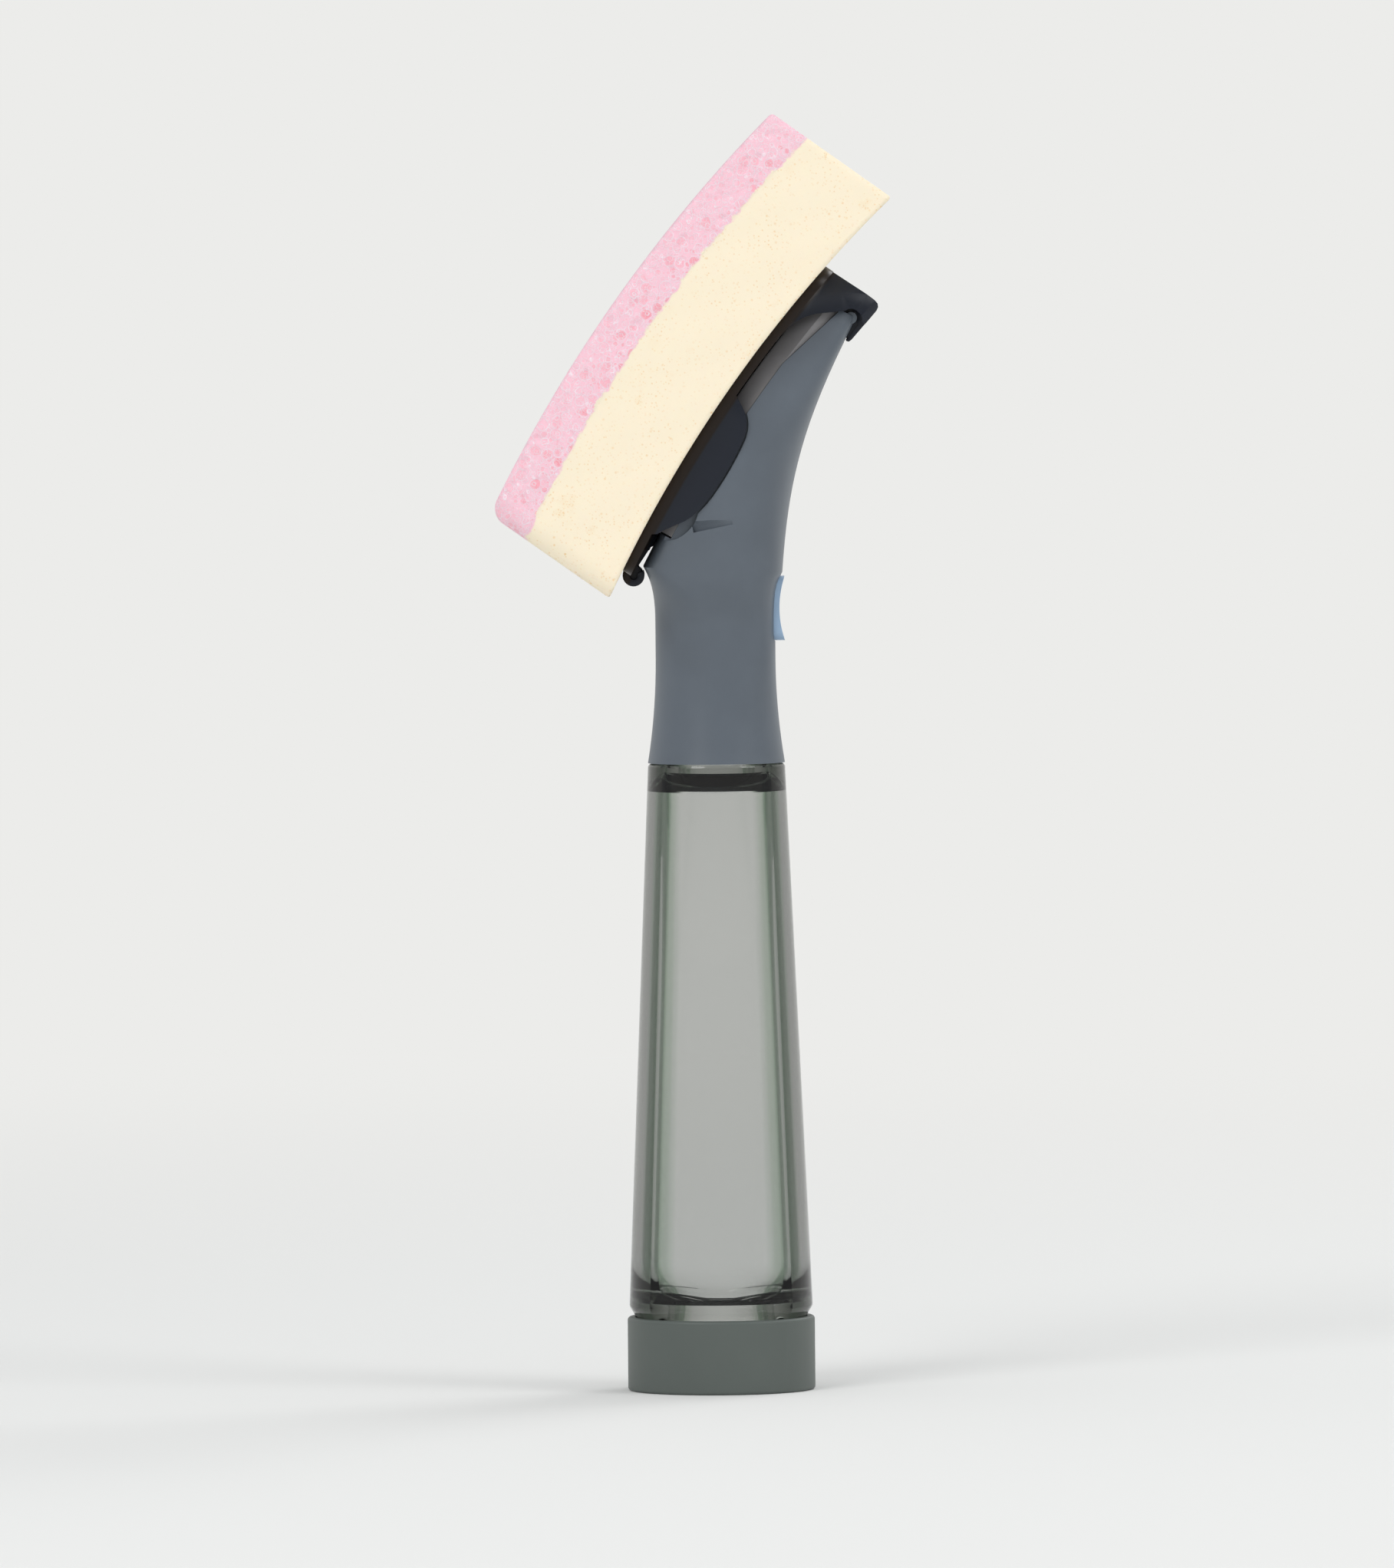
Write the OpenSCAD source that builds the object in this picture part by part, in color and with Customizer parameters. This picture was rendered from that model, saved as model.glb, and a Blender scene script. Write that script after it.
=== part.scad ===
// Dish wand: a hollow handle that holds washing-up liquid and stands on its screw cap, a curved head
// with a valve that the thumb button opens, and a click-on sponge refill.
// Millimetres, +Z up. The origin is the middle of the base cap's underside.
// The head's face leans towards -X, and the thumb button is on +X.

/* [Base cap] */
// Outer radius of the base cap
cap_r = 19.7; // [19:0.1:22]
// Height of the base cap
cap_h = 15.5; // [13:0.5:20]
// Thickness of the cap's floor
cap_floor = 2.6; // [1.6:0.1:4]
// Thickness of the cap's rim, round the handle
cap_rim = 1.5; // [1.2:0.1:2.2]
// Radius of the cap's rounded edges
cap_edge = 0.7; // [0.3:0.1:0.9]
// Thickness of the sealing ring in the cap
liner_t = 1.4; // [0.8:0.1:2.5]

/* [Bottle] */
// Half width of the handle just above the cap
foot_r = 19.3; // [18:0.1:20]
// Radius of the handle where it meets the neck
joint_r = 14.4; // [13.6:0.1:16]
// Height of the handle's clear body
handle_h = 116.5; // [80:0.5:150]
// Depth of the flattened front and back, as a share of the half width
flatness = 0.86; // [0.78:0.01:0.98]
// Height of the slope under the handle, above the cap
foot_slope = 2.2; // [1:0.1:4]
// Wall of the bottle
bottle_wall = 2.3; // [1.6:0.1:2.8]
// Radius of the bottle's open foot
mouth_r = 13; // [11:0.1:13.4]
// Wall of the threaded foot
mouth_wall = 2.4; // [1.6:0.1:2.8]
// Radius of the hole through the spigot
spigot_hole_r = 8.2; // [7:0.1:8.8]

/* [Neck and head] */
// Radius of the neck
neck_r = 12.6; // [12.2:0.1:13.4]
// Wall of the neck
neck_wall = 1.9; // [1.5:0.1:2]
// Height over which the neck widens towards the bottle
flare_h = 22; // [10:1:24]
// Height of the heel above the bottle
heel_up = 41.5; // [40:0.5:60]
// Distance of the heel from the handle's axis
heel_out = 15; // [14:0.1:17]
// Lean of the head's face at the heel, in degrees from upright
heel_lean = 26.9; // [20:0.1:32]
// Radius of the head's curved face
face_r = 277.4; // [200:0.1:400]
// Length of the head's face, from the heel to the nose
face_len = 68.6; // [62:0.1:76]
// Half width of the head at the heel
heel_w = 16.2; // [13.5:0.1:16.8]
// Half width of the head at its nose
nose_w = 8.6; // [8.2:0.1:10]
// Radius of the rounded nose that the refill turns on
nose_r = 1.25; // [1:0.05:1.6]
// Depth from the head's face to the nose's centre
nose_drop = 7.6; // [6.5:0.1:9]
// Wall of the head
head_wall = 2; // [1.5:0.1:2.4]
// Depth of the step round the head's face, where the face plate sits
step_d = 2.4; // [1.5:0.1:3]

/* [Face plate] */
// Height of the face plate above the heel's face
plate_rise = 1.3; // [0.6:0.1:1.5]
// Width of the face plate's bevel
plate_bevel = 2.6; // [1:0.1:3.5]
// Radius of each soap outlet
outlet_r = 1.6; // [1:0.1:2.4]
// Number of soap outlets
outlets = 3; // [2:1:4]
// Spacing of the soap outlets along the face
outlet_pitch = 14; // [10:0.5:15]

/* [Refill] */
// Length of the sponge, along its bend
sponge_l = 103; // [90:0.5:120]
// Width of the sponge
sponge_w = 46; // [42:0.5:60]
// Thickness of the cream sponge
foam_t = 21.2; // [12:0.1:30]
// Thickness of the pink scourer
scourer_t = 8.8; // [4:0.1:14]
// Where the middle of the sponge lies, along the face from the heel
sponge_mid = 42.1; // [40:0.1:45]
// Thickness of the refill's plastic plate
carrier_t = 1.9; // [1.4:0.1:2.6]
// Width of the refill's plastic plate
carrier_w = 38; // [37:0.5:41]
// Thickness of the side cheeks
cheek_t = 1.8; // [1.2:0.1:2]
// Half the room between the cheeks
cheek_in = 16.4; // [16:0.1:16.8]
// How far the cheeks reach down the head's sides
cheek_d = 5.5; // [4.5:0.1:6]
// Width of the hooked lip behind the nose
lip_w = 12; // [8:0.5:13]
// Length of the hooked lip, from the nose's centre
lip_l = 4.3; // [3:0.1:5]
// Thickness of the hooked lip
lip_t = 0.95; // [0.7:0.05:1.4]
// Thickness of the hood's side walls
hood_wall = 1.7; // [1.2:0.1:2.2]
// Thickness of the hood's front, over the nose
hood_front = 4; // [2.5:0.1:4.5]
// Radius of the rolled latch at the heel
latch_r = 2.3; // [2:0.1:2.4]
// Width of the latch at the heel
latch_w = 14; // [8:0.5:20]

/* [Button and valve] */
// Height of the button's middle above the bottle
button_up = 32.4; // [31:0.1:33]
// Height of the thumb button
button_h = 13.4; // [11:0.1:13.6]
// Width of the thumb button
button_w = 11.2; // [9:0.1:12]
// How far the button stands out of the neck at its ends
button_out = 2; // [1.2:0.1:2.6]
// Depth of the hollow in the button's face
button_dish = 1.1; // [0.3:0.1:1.4]
// Travel of the button
button_travel = 2; // [1:0.1:2.2]
// Radius of the valve's stem
stem_r = 2; // [1.6:0.1:2.2]
// Radius of the valve's disc
disc_r = 4; // [3.6:0.1:4.2]
// Thickness of the valve's disc
disc_t = 1.1; // [0.8:0.1:1.4]
// Wire of the return spring
wire_d = 0.5; // [0.4:0.05:0.55]
// Turns of the return spring
spring_turns = 4; // [3:0.5:4]
// Thickness of the gasket under the valve block
gasket_t = 1.5; // [1:0.1:2.5]

/* [Fits] */
// Room between pieces that move past each other
play = 0.3; // [0.2:0.05:0.35]
// Gap left where two pieces are seated on each other
seat = 0.1; // [0.05:0.01:0.15]
// Radial room of a sliding fit
slide_fit = 0.06; // [0.03:0.01:0.09]

/* [Hidden] */

// Facets of round cuts and arcs
round_fn = 96;
arc_fn = 720;
// Points round each loft, and rings along the head
loft_points = 48;
head_rings = 20;
step_parts = 24;

// Heights up the handle
joint_z = cap_h + handle_h;
heel_z = joint_z + heel_up;
button_z = joint_z + button_up;

// The head's bend, with its centre on the +X side
heel_a = 180 - heel_lean;
bend_x = -heel_out - face_r * cos(heel_a);
bend_z = heel_z - face_r * sin(heel_a);
nose_a = along(face_len);
nose_at = face_r - nose_drop;
nose = polar(nose_at, nose_a);
nose_lean = 1.2;

// Radii of the layers, all round the bend's centre
step_r = face_r - step_d;
plate_r = face_r + plate_rise;
carrier_r = plate_r + play;
foam_r = carrier_r + carrier_t + seat;
scourer_r = foam_r + foam_t + seat;

// Radii inside the neck
bore_r = neck_r - neck_wall;
block_r = bore_r - seat;

// The valve along the button's travel, as X positions
button_in = bore_r - 0.7;
tab_t = 1;
flat_x = button_in - tab_t - button_travel - play;
gland_t = 2.4;
gland_r = disc_r;
seal_room = 1.5;
chamber_x = flat_x - gland_t - seal_room;
chamber_l = 2.7;
seat_x = chamber_x - chamber_l;
seat_t = 1.4;
dividing_t = 0.8;
poppet_t = 0.75;
disc_x = seat_x - seat_t - seat / 2 - poppet_t;
spring_room_r = disc_r + 0.7;
plug_t = 1.1;
plug_x = -sqrt(pow(block_r, 2) - pow(spring_room_r, 2)) + plug_t;
block_low = 11.2;
block_high = 10.2;
ledge_z = button_z + block_high + seat;
ledge_t = 1.3;
outlet_x = (seat_x + chamber_x - dividing_t) / 2;
passage_r = 2.1;
inlet_x = (plug_x + disc_x - disc_t) / 2 - 0.4;
gasket_z = button_z - block_low - seat - gasket_t;

// Colours as the object shows them
pink = [1, 0.78, 0.84];
cream = [0.99, 0.92, 0.82];
black_plastic = [0.16, 0.18, 0.22];
slate = [0.35, 0.39, 0.43];
light_slate = [0.4, 0.41, 0.44];
pale_blue = [0.62, 0.72, 0.82];
smoke = [0.66, 0.68, 0.67, 0.5];
dark_grey = [0.33, 0.36, 0.35];
white_plastic = [0.92, 0.92, 0.9];
seal_rubber = [0.15, 0.15, 0.16];
steel = [0.75, 0.76, 0.78];

// A point of the XZ plane, at radius r and angle a round the bend's centre
function polar(r, a) = [bend_x + r * cos(a), bend_z + r * sin(a)];
// A point given from the nose's centre: first towards the nose's tip, then out of the face
function at_nose_point(p) =
    nose + p[0] * [sin(nose_a), -cos(nose_a)] + p[1] * [cos(nose_a), sin(nose_a)];
// The angle of what lies a length s along the face from the heel
function along(s, r = face_r) = heel_a - s / r * 180 / PI;
// The share t of the way between two values or points
function mix(a, b, t) = a * (1 - t) + b * t;
// A point of a cubic curve
function curve(p, t) =
    p[0] * pow(1 - t, 3) + 3 * p[1] * pow(1 - t, 2) * t + 3 * p[2] * (1 - t) * pow(t, 2) + p[3] * pow(t, 3);
// A signed power, for rounded-box sections
function bulge(v, n) = sign(v) * pow(abs(v), 2 / n);

// A ring of the head between its front and back points, w wide each way, with its widest place at
// share m of the way back, and with its front and back squared off by n and nb
function head_ring(front, back, w, m, n, nb = 2) =
    let (depth = norm(back - front), way = (back - front) / depth)
    [for (k = [0:loft_points - 1])
        let (
            a = 360 * k / loft_points,
            c = cos(a),
            x = depth * (m + (c > 0 ? 1 - m : m) * bulge(c, c > 0 ? nb : n)),
            y = w * bulge(sin(a), c > 0 ? nb : n)
        )
        [front[0] + way[0] * x, y, front[1] + way[1] * x]];

// A solid through a list of rings, lowest ring first
module skin(rings) {
    n = len(rings[0]);
    last = (len(rings) - 1) * n;
    polyhedron(
        points = [for (ring = rings) each ring],
        faces = concat(
            [[for (k = [0:n - 1]) k]],
            [[for (k = [n - 1:-1:0]) last + k]],
            [for (i = [0:n:last - 1], k = [0:n - 1]) [i + k, i + n + k, i + n + (k + 1) % n]],
            [for (i = [0:n:last - 1], k = [0:n - 1]) [i + k, i + n + (k + 1) % n, i + (k + 1) % n]]
        ),
        convexity = 8
    );
}

// A flat shape of the XZ plane, made w wide along Y
module across(w) {
    rotate([90, 0, 0]) linear_extrude(height = w, center = true) children();
}

// The place on the face at length s from the heel: local X runs to the nose, local Z stands out
module on_face(s, r = face_r) {
    a = along(s);
    translate([polar(r, a)[0], 0, polar(r, a)[1]]) rotate([0, 90 - a, 0]) children();
}

// The nose's centre, with the same local directions
module at_nose() {
    translate([nose[0], 0, nose[1]]) rotate([0, 90 - nose_a, 0]) children();
}

// A band round the bend's centre, between two radii and two angles
module band(r1, r2, a1, a2) {
    intersection() {
        difference() {
            translate([bend_x, bend_z]) circle(r2, $fn = arc_fn);
            translate([bend_x, bend_z]) circle(r1, $fn = arc_fn);
        }
        polygon([
            polar(r1 * 0.9, a1), polar(r2 * 1.1, a1), polar(r2 * 1.1, a2), polar(r1 * 0.9, a2)
        ]);
    }
}

// A layer of the sponge, as long at every radius, so its ends lean as those of a bent block do
module sponge_layer(r1, r2) {
    mid = along(sponge_mid);
    half = sponge_l / 2 * 180 / PI;
    across(sponge_w) intersection() {
        difference() {
            translate([bend_x, bend_z]) circle(r2, $fn = arc_fn);
            translate([bend_x, bend_z]) circle(r1, $fn = arc_fn);
        }
        polygon([
            polar(r1 - 20, mid + half / (r1 - 20)), polar(r1, mid + half / r1),
            polar(r2, mid + half / r2), polar(r2 + 20, mid + half / (r2 + 20)),
            polar(r2 + 20, mid - half / (r2 + 20)), polar(r2, mid - half / r2),
            polar(r1, mid - half / r1), polar(r1 - 20, mid - half / (r1 - 20))
        ]);
    }
}

// A rectangle with round corners
module round_box(w, h, r) {
    square([w - 2 * r, h], center = true);
    square([w, h - 2 * r], center = true);
    for (x = [-1, 1], y = [-1, 1])
        translate([x * (w / 2 - r), y * (h / 2 - r)]) circle(r, $fn = round_fn);
}

// Half width of the head, at length s along the face
function head_w(s) = curve([heel_w, 18.5, 19.5, nose_w], s / face_len);

// Back edge of the head, from above the button to the nose
back_line = [
    [neck_r + 1.6, button_z + 7.6],
    [neck_r + 2.9, button_z + 24.6],
    mix([neck_r + 5.2, button_z + 37.6], nose - [11.2, 23.3], 0.5),
    at_nose_point([0.7, -0.3 - nose_r / 2])
];

// Radius of the neck's outside, at a height above the bottle
function neck_at(h) = neck_r + (joint_r - neck_r) * pow(max(0, 1 - h / flare_h), 2);

// Rings of the neck, then of the swelling under the heel, then up the face to the nose. The back is
// flatter beside the button, and squared off at the nose.
heel_h = 13;
flat_back = 3.2;
neck_rings = [for (i = [0:12])
    let (h = (heel_up - heel_h) * i / 12, r = neck_at(h), t = max(0, (h / (heel_up - heel_h) - 0.4) / 0.6))
    head_ring([-r, joint_z + h], [r, joint_z + h], r, 0.5, 2, mix(2, flat_back, min(1, 1.6 * t)))];
under_heel_rings = [for (i = [1:8]) let (t = i / 9)
    head_ring(
        [-mix(neck_r, heel_out, pow(t, 3)), heel_z - heel_h * (1 - t)],
        [mix(neck_r, back_line[0][0], pow(t, 4)), mix(heel_z - heel_h, back_line[0][1], t)],
        mix(neck_r, heel_w, t * t * (3 - 2 * t)), mix(0.5, 0.35, t), mix(2, 7, pow(t, 3)), flat_back)];
face_rings = [for (i = [0:head_rings]) let (t = i / head_rings, s = (face_len - nose_lean) * t)
    head_ring(
        polar(face_r, along(s)), curve(back_line, pow(t, 1.25)), head_w(s), mix(0.35, 0.3, t), 7,
        t < 0.5 ? mix(flat_back, 2.2, 2 * t) : mix(2.2, 6, pow(2 * t - 1, 1.5)))];

// Rings of the soap chamber inside the head, open towards the face
function chamber_end(s) = curve(back_line, pow(s / face_len, 1.25));
function chamber_w(s) = min(head_w(s), cheek_in - play) - head_wall;
chamber_stations = [for (i = [0:8]) mix(14, face_len - 9, i / 8)];
chamber_rings = [for (s = chamber_stations)
    let (
        front = polar(step_r + 1.5, along(s)),
        back = chamber_end(s),
        way = (back - front) / norm(back - front)
    )
    head_ring(front, back - way * head_wall, chamber_w(s), 0.35, 4)];

// Arc of the step round the face, as points, between two lengths from the heel
function step_arc(s1, s2, r) = [for (i = [0:step_parts]) polar(r, along(mix(s1, s2, i / step_parts)))];
// Where the step's arc turns into a straight line, and where that line ends above the nose
bend_s = 0.758 * face_len;
plate_tip = [0.2, nose_r + 1.45];

module head_shell() {
    color(slate) difference() {
        union() {
            skin(concat(neck_rings, under_heel_rings, face_rings));
            at_nose() rotate([90, 0, 0])
                cylinder(r = nose_r, h = 2 * nose_w - 0.6, center = true, $fn = round_fn);
        }
        // Step for the face plate
        across(60) polygon(concat(
            step_arc(8, bend_s, step_r),
            [at_nose_point(plate_tip), at_nose_point(plate_tip + [6, -3.4]), polar(plate_r + 20, nose_a),
             polar(plate_r + 20, along(8))]));
        // Soap chamber, and the passage up to it
        skin(chamber_rings);
        translate([outlet_x, 0, ledge_z - 1]) cylinder(r = passage_r, h = 14, $fn = round_fn);
        // Bore for the bottle's spigot and the valve block, with the groove for the spigot's ridge
        translate([0, 0, joint_z - 1]) cylinder(r = bore_r, h = ledge_z - joint_z + 1, $fn = round_fn);
        translate([0, 0, snap_z]) snap_ring(seat);
        // Window for the button
        translate([neck_r - 4, 0, button_z]) rotate([90, 0, 90])
            linear_extrude(height = 12) round_box(button_w + 2 * play, button_h + 2 * play, 2 + play);
        for (side = [-1, 1]) {
            // Room for the cheeks, a finger pocket at their low corner and a thumb hollow beside it
            translate([0, side * (cheek_in - play + 10), 0]) across(20)
                polygon(cheek_points(play + 0.1));
            translate([0, side * (pocket_y + 10), 0]) across(20) polygon([
                for (p = [[5, 3], [6.6, 0], [7.1, -1.3], [7.6, -2.4], [8.3, -3.2], [9.1, -3.85], [10, -4.35],
                          [11, -4.75], [12, -5], [13.2, -5.15], [14.4, -5.1], [15.6, -4.8], [15.6, 3]])
                    polar(face_r + p[1], along(p[0]))
            ]);
            translate([hollow[0], side * hollow_y, hollow[1]]) rotate([0, -hollow_tilt, 0]) intersection() {
                rotate([0, 90, 0])
                    cylinder(r1 = hollow_r, r2 = hollow_y - head_w(12) + 0.2, h = 8.4, $fn = round_fn);
                translate([-5, -10, 0]) cube(20);
            }
        }
        // Room for the hooked lip as it swings
        at_nose() across(lip_w + 2 * play + 0.2) difference() {
            intersection() {
                circle(norm([lip_l, lip_in]) + 0.5, $fn = round_fn);
                polygon([
                    [0, 0], [3.2, -8], [-4, -10], [-10, -6], [-10, -1.5]
                ]);
            }
            circle(nose_r, $fn = round_fn);
        }
    }
}

// Inner face of the lip, from the nose's centre, and the round of the hook
hook_r = nose_r + 0.7;
lip_in = nose_r + 0.9;

// Ridge that snaps the bottle's spigot into the neck
snap_z = joint_z + 6;
snap_d = 0.6;
module snap_ring(more = 0) {
    rotate_extrude($fn = round_fn) polygon([
        [bore_r - 1, -0.9 - snap_d - more], [bore_r - 0.1, -0.6 - snap_d - more],
        [bore_r - seat + snap_d + more, -0.3 - more], [bore_r - seat + snap_d + more, 0.3 + more],
        [bore_r - 0.1, 0.6 + snap_d + more], [bore_r - 1, 0.9 + snap_d + more]
    ]);
}

// Finger pocket's floor, and the thumb hollow's place, radius and depth
pocket_y = cheek_in - play - 0.3;
hollow = [-heel_out + 10.6, heel_z + 7.2];
hollow_tilt = 11.7;
hollow_r = 2.8;
hollow_y = head_w(12) + 1.3;

// Outline of a cheek, made larger all round by a margin
function cheek_points(more = 0) = let (d = cheek_d)
    [for (p = [[6.4 - more, 2.6], [7.6 - more, 0.6], [9 - more * 0.7, -0.05 * d - more * 0.7],
               [10.8 - more * 0.7, -0.31 * d - more * 0.7], [12.6 - more * 0.5, -0.56 * d - more * 0.8],
               [14.2 - more * 0.3, -0.72 * d - more * 0.9], [16, -0.83 * d - more], [18, -0.91 * d - more],
               [20.2, -0.97 * d - more], [22.6, -d - more], [25, -1.01 * d - more], [27.5, -d - more],
               [30, -0.97 * d - more], [32.6, -0.92 * d - more], [34.4 + more * 0.2, -0.86 * d - more],
               [35.8 + more * 0.4, -0.78 * d - more * 0.9], [37 + more * 0.7, -0.67 * d - more * 0.7],
               [38.1 + more * 0.9, -0.51 * d - more * 0.4], [38.9 + more, -0.35 * d], [39.6 + more, -0.15 * d],
               [40.1 + more, 0.2], [41.4 + more, 2.6]])
        polar(face_r + p[1], along(p[0]))];

// Half width of the face plate where it meets the head
function plate_w(s) = min(0.975 * head_w(s), cheek_in - play - 0.1);

module face_plate() {
    low = 8.4;
    parts = 20;
    top_end = at_nose_point([-1.5, plate_r - nose_at]);
    color(light_slate) difference() {
        intersection() {
            skin([for (i = [0:parts])
                let (s = mix(low - 2, face_len + 2, i / parts), a = along(s), w = plate_w(s), b = w - plate_bevel)
                [for (p = [[step_r - 7, -0.86 * w], [step_r - 7, 0.86 * w], [step_r, w],
                           [plate_r - 0.35, b + 0.25], [plate_r, b - 0.2],
                           [plate_r, 0.2 - b], [plate_r - 0.35, -b - 0.25], [step_r, -w]])
                    [polar(p[0], a)[0], p[1], polar(p[0], a)[1]]]]);
            across(60) polygon(concat(
                step_arc(low, bend_s, step_r + seat / 2),
                [at_nose_point(plate_tip + [-0.1, seat]), top_end, top_end + [-8, 6]],
                [polar(plate_r + 6, along(low))]));
        }
        for (i = [0:outlets - 1])
            on_face(face_len / 2 + (i - (outlets - 1) / 2) * outlet_pitch, step_r - 5)
                cylinder(r = outlet_r, h = 20, $fn = round_fn);
    }
}

module scourer_pad() {
    color(pink) sponge_layer(scourer_r, scourer_r + scourer_t);
}

module foam_block() {
    color(cream) sponge_layer(foam_r, foam_r + foam_t);
}

// The hood over the nose, given from the nose's centre. Its side walls spread as the head does.
hood_l = 0.204 * face_len;
hood_v = carrier_r - nose_at;
hood_u = hook_r + hood_front;
hood_spread = (head_w(face_len - hood_l) + 0.1 - nose_w) / hood_l;
function hood_in(u) = nose_w + play + 0.5 - hood_spread * u;

// Side outline of the hood, down to the hook's underside
module hood_side() {
    difference() {
        polygon([
            [-hood_l, hood_v + 0.9], [1.4 - hood_l, hood_v - 0.35], [-8.4, hood_v - 0.8],
            [-6.2, hood_v - 1.6], [-4.1, hood_v - 2.95], [-0.5, nose_r + 1.5], [hook_r, 0.25],
            [hook_r, -0.9], [hook_r - 0.5, -lip_in + 0.2], [hook_r - 1, -lip_in],
            [hook_r - 1, -lip_in - lip_t], [hood_u - 1.3, -lip_in - lip_t],
            [hood_u - 0.5, -lip_in - lip_t + 0.25], [hood_u, -lip_in - lip_t + 0.8], [hood_u + 0.15, -1.3],
            [hood_u, 0.75], [hood_u - 1.1, hood_v], [hood_u - 1.2, hood_v + 0.9]
        ]);
        circle(hook_r, $fn = round_fn);
    }
}

// Plan of the hood at depth v: its front corners are cut back from u, and its sides drawn in
function hood_ring(v, u, y, less = 0) =
    let (b = hood_in(-hood_l - 4) + hood_wall - less, f = hood_in(u) + hood_wall - less)
    [[-hood_l - 4, b, v], [-hood_l - 4, -b, v], [u, -f, v], [hood_u + 2, -y, v], [hood_u + 2, y, v], [u, f, v]];

module hood() {
    difference() {
        intersection() {
            rotate([90, 0, 0]) linear_extrude(height = 60, center = true) hood_side();
            skin([
                hood_ring(-lip_in - lip_t - 1, hood_u, 5.4, 2.6), hood_ring(-1.4, hood_u, 7.6),
                hood_ring(0.7, hood_u, 7.6),
                hood_ring(hood_v - 4, hood_u - 3, 6.6), hood_ring(hood_v - 0.85, hood_u - 6.5, 5),
                hood_ring(hood_v + 1.5, hood_u - 8, 4)
            ]);
        }
        // Room inside for the head's nose
        translate([0, 0, -10]) linear_extrude(height = 10 + hood_v) polygon([
            [-hood_l - 6, -hood_in(-hood_l - 6)], [hook_r - 0.3, -hood_in(hook_r)],
            [hook_r - 0.3, hood_in(hook_r)], [-hood_l - 6, hood_in(-hood_l - 6)]
        ]);
    }
    // The lip that hooks behind the nose
    rotate([90, 0, 0]) linear_extrude(height = lip_w, center = true) difference() {
        polygon([
            [hook_r + 0.5, 0.8], [0.6, 0.8], [0, -1], [0, -lip_in], [0.2 - lip_l, -lip_in - 0.1],
            [-lip_l, -lip_in - 0.35], [0.25 - lip_l, -lip_in - lip_t + 0.15], [1 - lip_l, -lip_in - lip_t],
            [hook_r + 0.5, -lip_in - lip_t]
        ]);
        circle(nose_r + play, $fn = round_fn);
    }
}

// The rolled latch that clips under the heel, with a rib inside the roll
module latch() {
    middle = polar(carrier_r - 0.6, along(-2.6));
    opening = [[0, 0], [5, 2.2], [5, 6], [-1.6, 6]];
    across(latch_w) translate(middle) difference() {
        circle(latch_r, $fn = round_fn);
        circle(latch_r - 1.4, $fn = round_fn);
        polygon(opening);
    }
    across(latch_w / 3) translate(middle) difference() {
        circle(latch_r - 0.7, $fn = round_fn);
        polygon(opening);
    }
}

module refill_carrier() {
    stop_w = 16;
    top_s = face_len + 4.6;
    low_s = -2.4;
    r_out = carrier_r + carrier_t;
    color(black_plastic) difference() {
        union() {
            // Plate, with round corners
            intersection() {
                across(carrier_w) band(carrier_r, r_out, along(low_s - 2), along(top_s + 2));
                on_face((top_s + low_s) / 2, carrier_r - 12) linear_extrude(height = 20)
                    round_box((top_s - low_s) * 1.012, carrier_w + 0.02, 6);
            }
            for (side = [-1, 1])
                translate([0, side * (cheek_in + cheek_t / 2), 0]) across(cheek_t) polygon(cheek_points());
            at_nose() hood();
            latch();
            // Stop that rests by the head's face, above the latch
            across(stop_w) polygon([for (p = [[3.6, play + 0.1], [7, play + 0.1], [7.6, 2.2], [3, 2.2]])
                polar(face_r + p[1], along(p[0]))]);
        }
        for (i = [0:outlets - 1])
            on_face(face_len / 2 + (i - (outlets - 1) / 2) * outlet_pitch, carrier_r - 2)
                cylinder(r = outlet_r + 1.8, h = 6, $fn = round_fn);
    }
}

module thumb_button() {
    low_x = button_in;
    out_x = neck_r + button_out;
    dish_r = (pow(button_h / 2, 2) + pow(button_dish, 2)) / (2 * button_dish);
    color(pale_blue) difference() {
        union() {
            intersection() {
                translate([low_x, 0, button_z]) rotate([90, 0, 90])
                    linear_extrude(height = 20) round_box(button_w, button_h, 2);
                difference() {
                    translate([0, -20, button_z - 20]) cube([out_x, 40, 40]);
                    translate([out_x - button_dish + dish_r, 0, button_z]) rotate([90, 0, 0])
                        cylinder(r = dish_r, h = 60, center = true, $fn = 180);
                }
            }
            for (side = [-1, 1])
                translate([low_x - tab_t / 2, 0, button_z + side * (button_h / 2)])
                    cube([tab_t, 5.2, 3], center = true);
            translate([low_x - tab_t, -2.6, button_z - button_h / 2]) cube([tab_t + 0.1, 5.2, button_h]);
        }
        translate([low_x - 5, 0, button_z]) rotate([0, 90, 0])
            cylinder(r = stem_r + seat / 2, h = 7, $fn = round_fn);
    }
}

module valve_plunger() {
    color(white_plastic) {
        translate([disc_x - disc_t, 0, button_z]) rotate([0, 90, 0])
            cylinder(r = disc_r, h = disc_t, $fn = round_fn);
        translate([disc_x - disc_t, 0, button_z]) rotate([0, 90, 0])
            cylinder(r = stem_r, h = button_in + 2 - seat - disc_x + disc_t, $fn = round_fn);
    }
}

module poppet_seal() {
    color(seal_rubber) translate([disc_x, 0, button_z]) rotate([0, 90, 0]) difference() {
        cylinder(r = disc_r - 0.2, h = poppet_t, $fn = round_fn);
        translate([0, 0, -1]) cylinder(r = stem_r + seat / 2, h = poppet_t + 2, $fn = round_fn);
    }
}

module ring_seal(r, d) {
    rotate_extrude($fn = round_fn) translate([r, 0]) circle(d / 2, $fn = 32);
}

module stem_seal() {
    color(seal_rubber) translate([flat_x - gland_t - seal_room / 2, 0, button_z]) rotate([0, 90, 0])
        ring_seal(stem_r + slide_fit + 0.65, 1.3);
}

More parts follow.
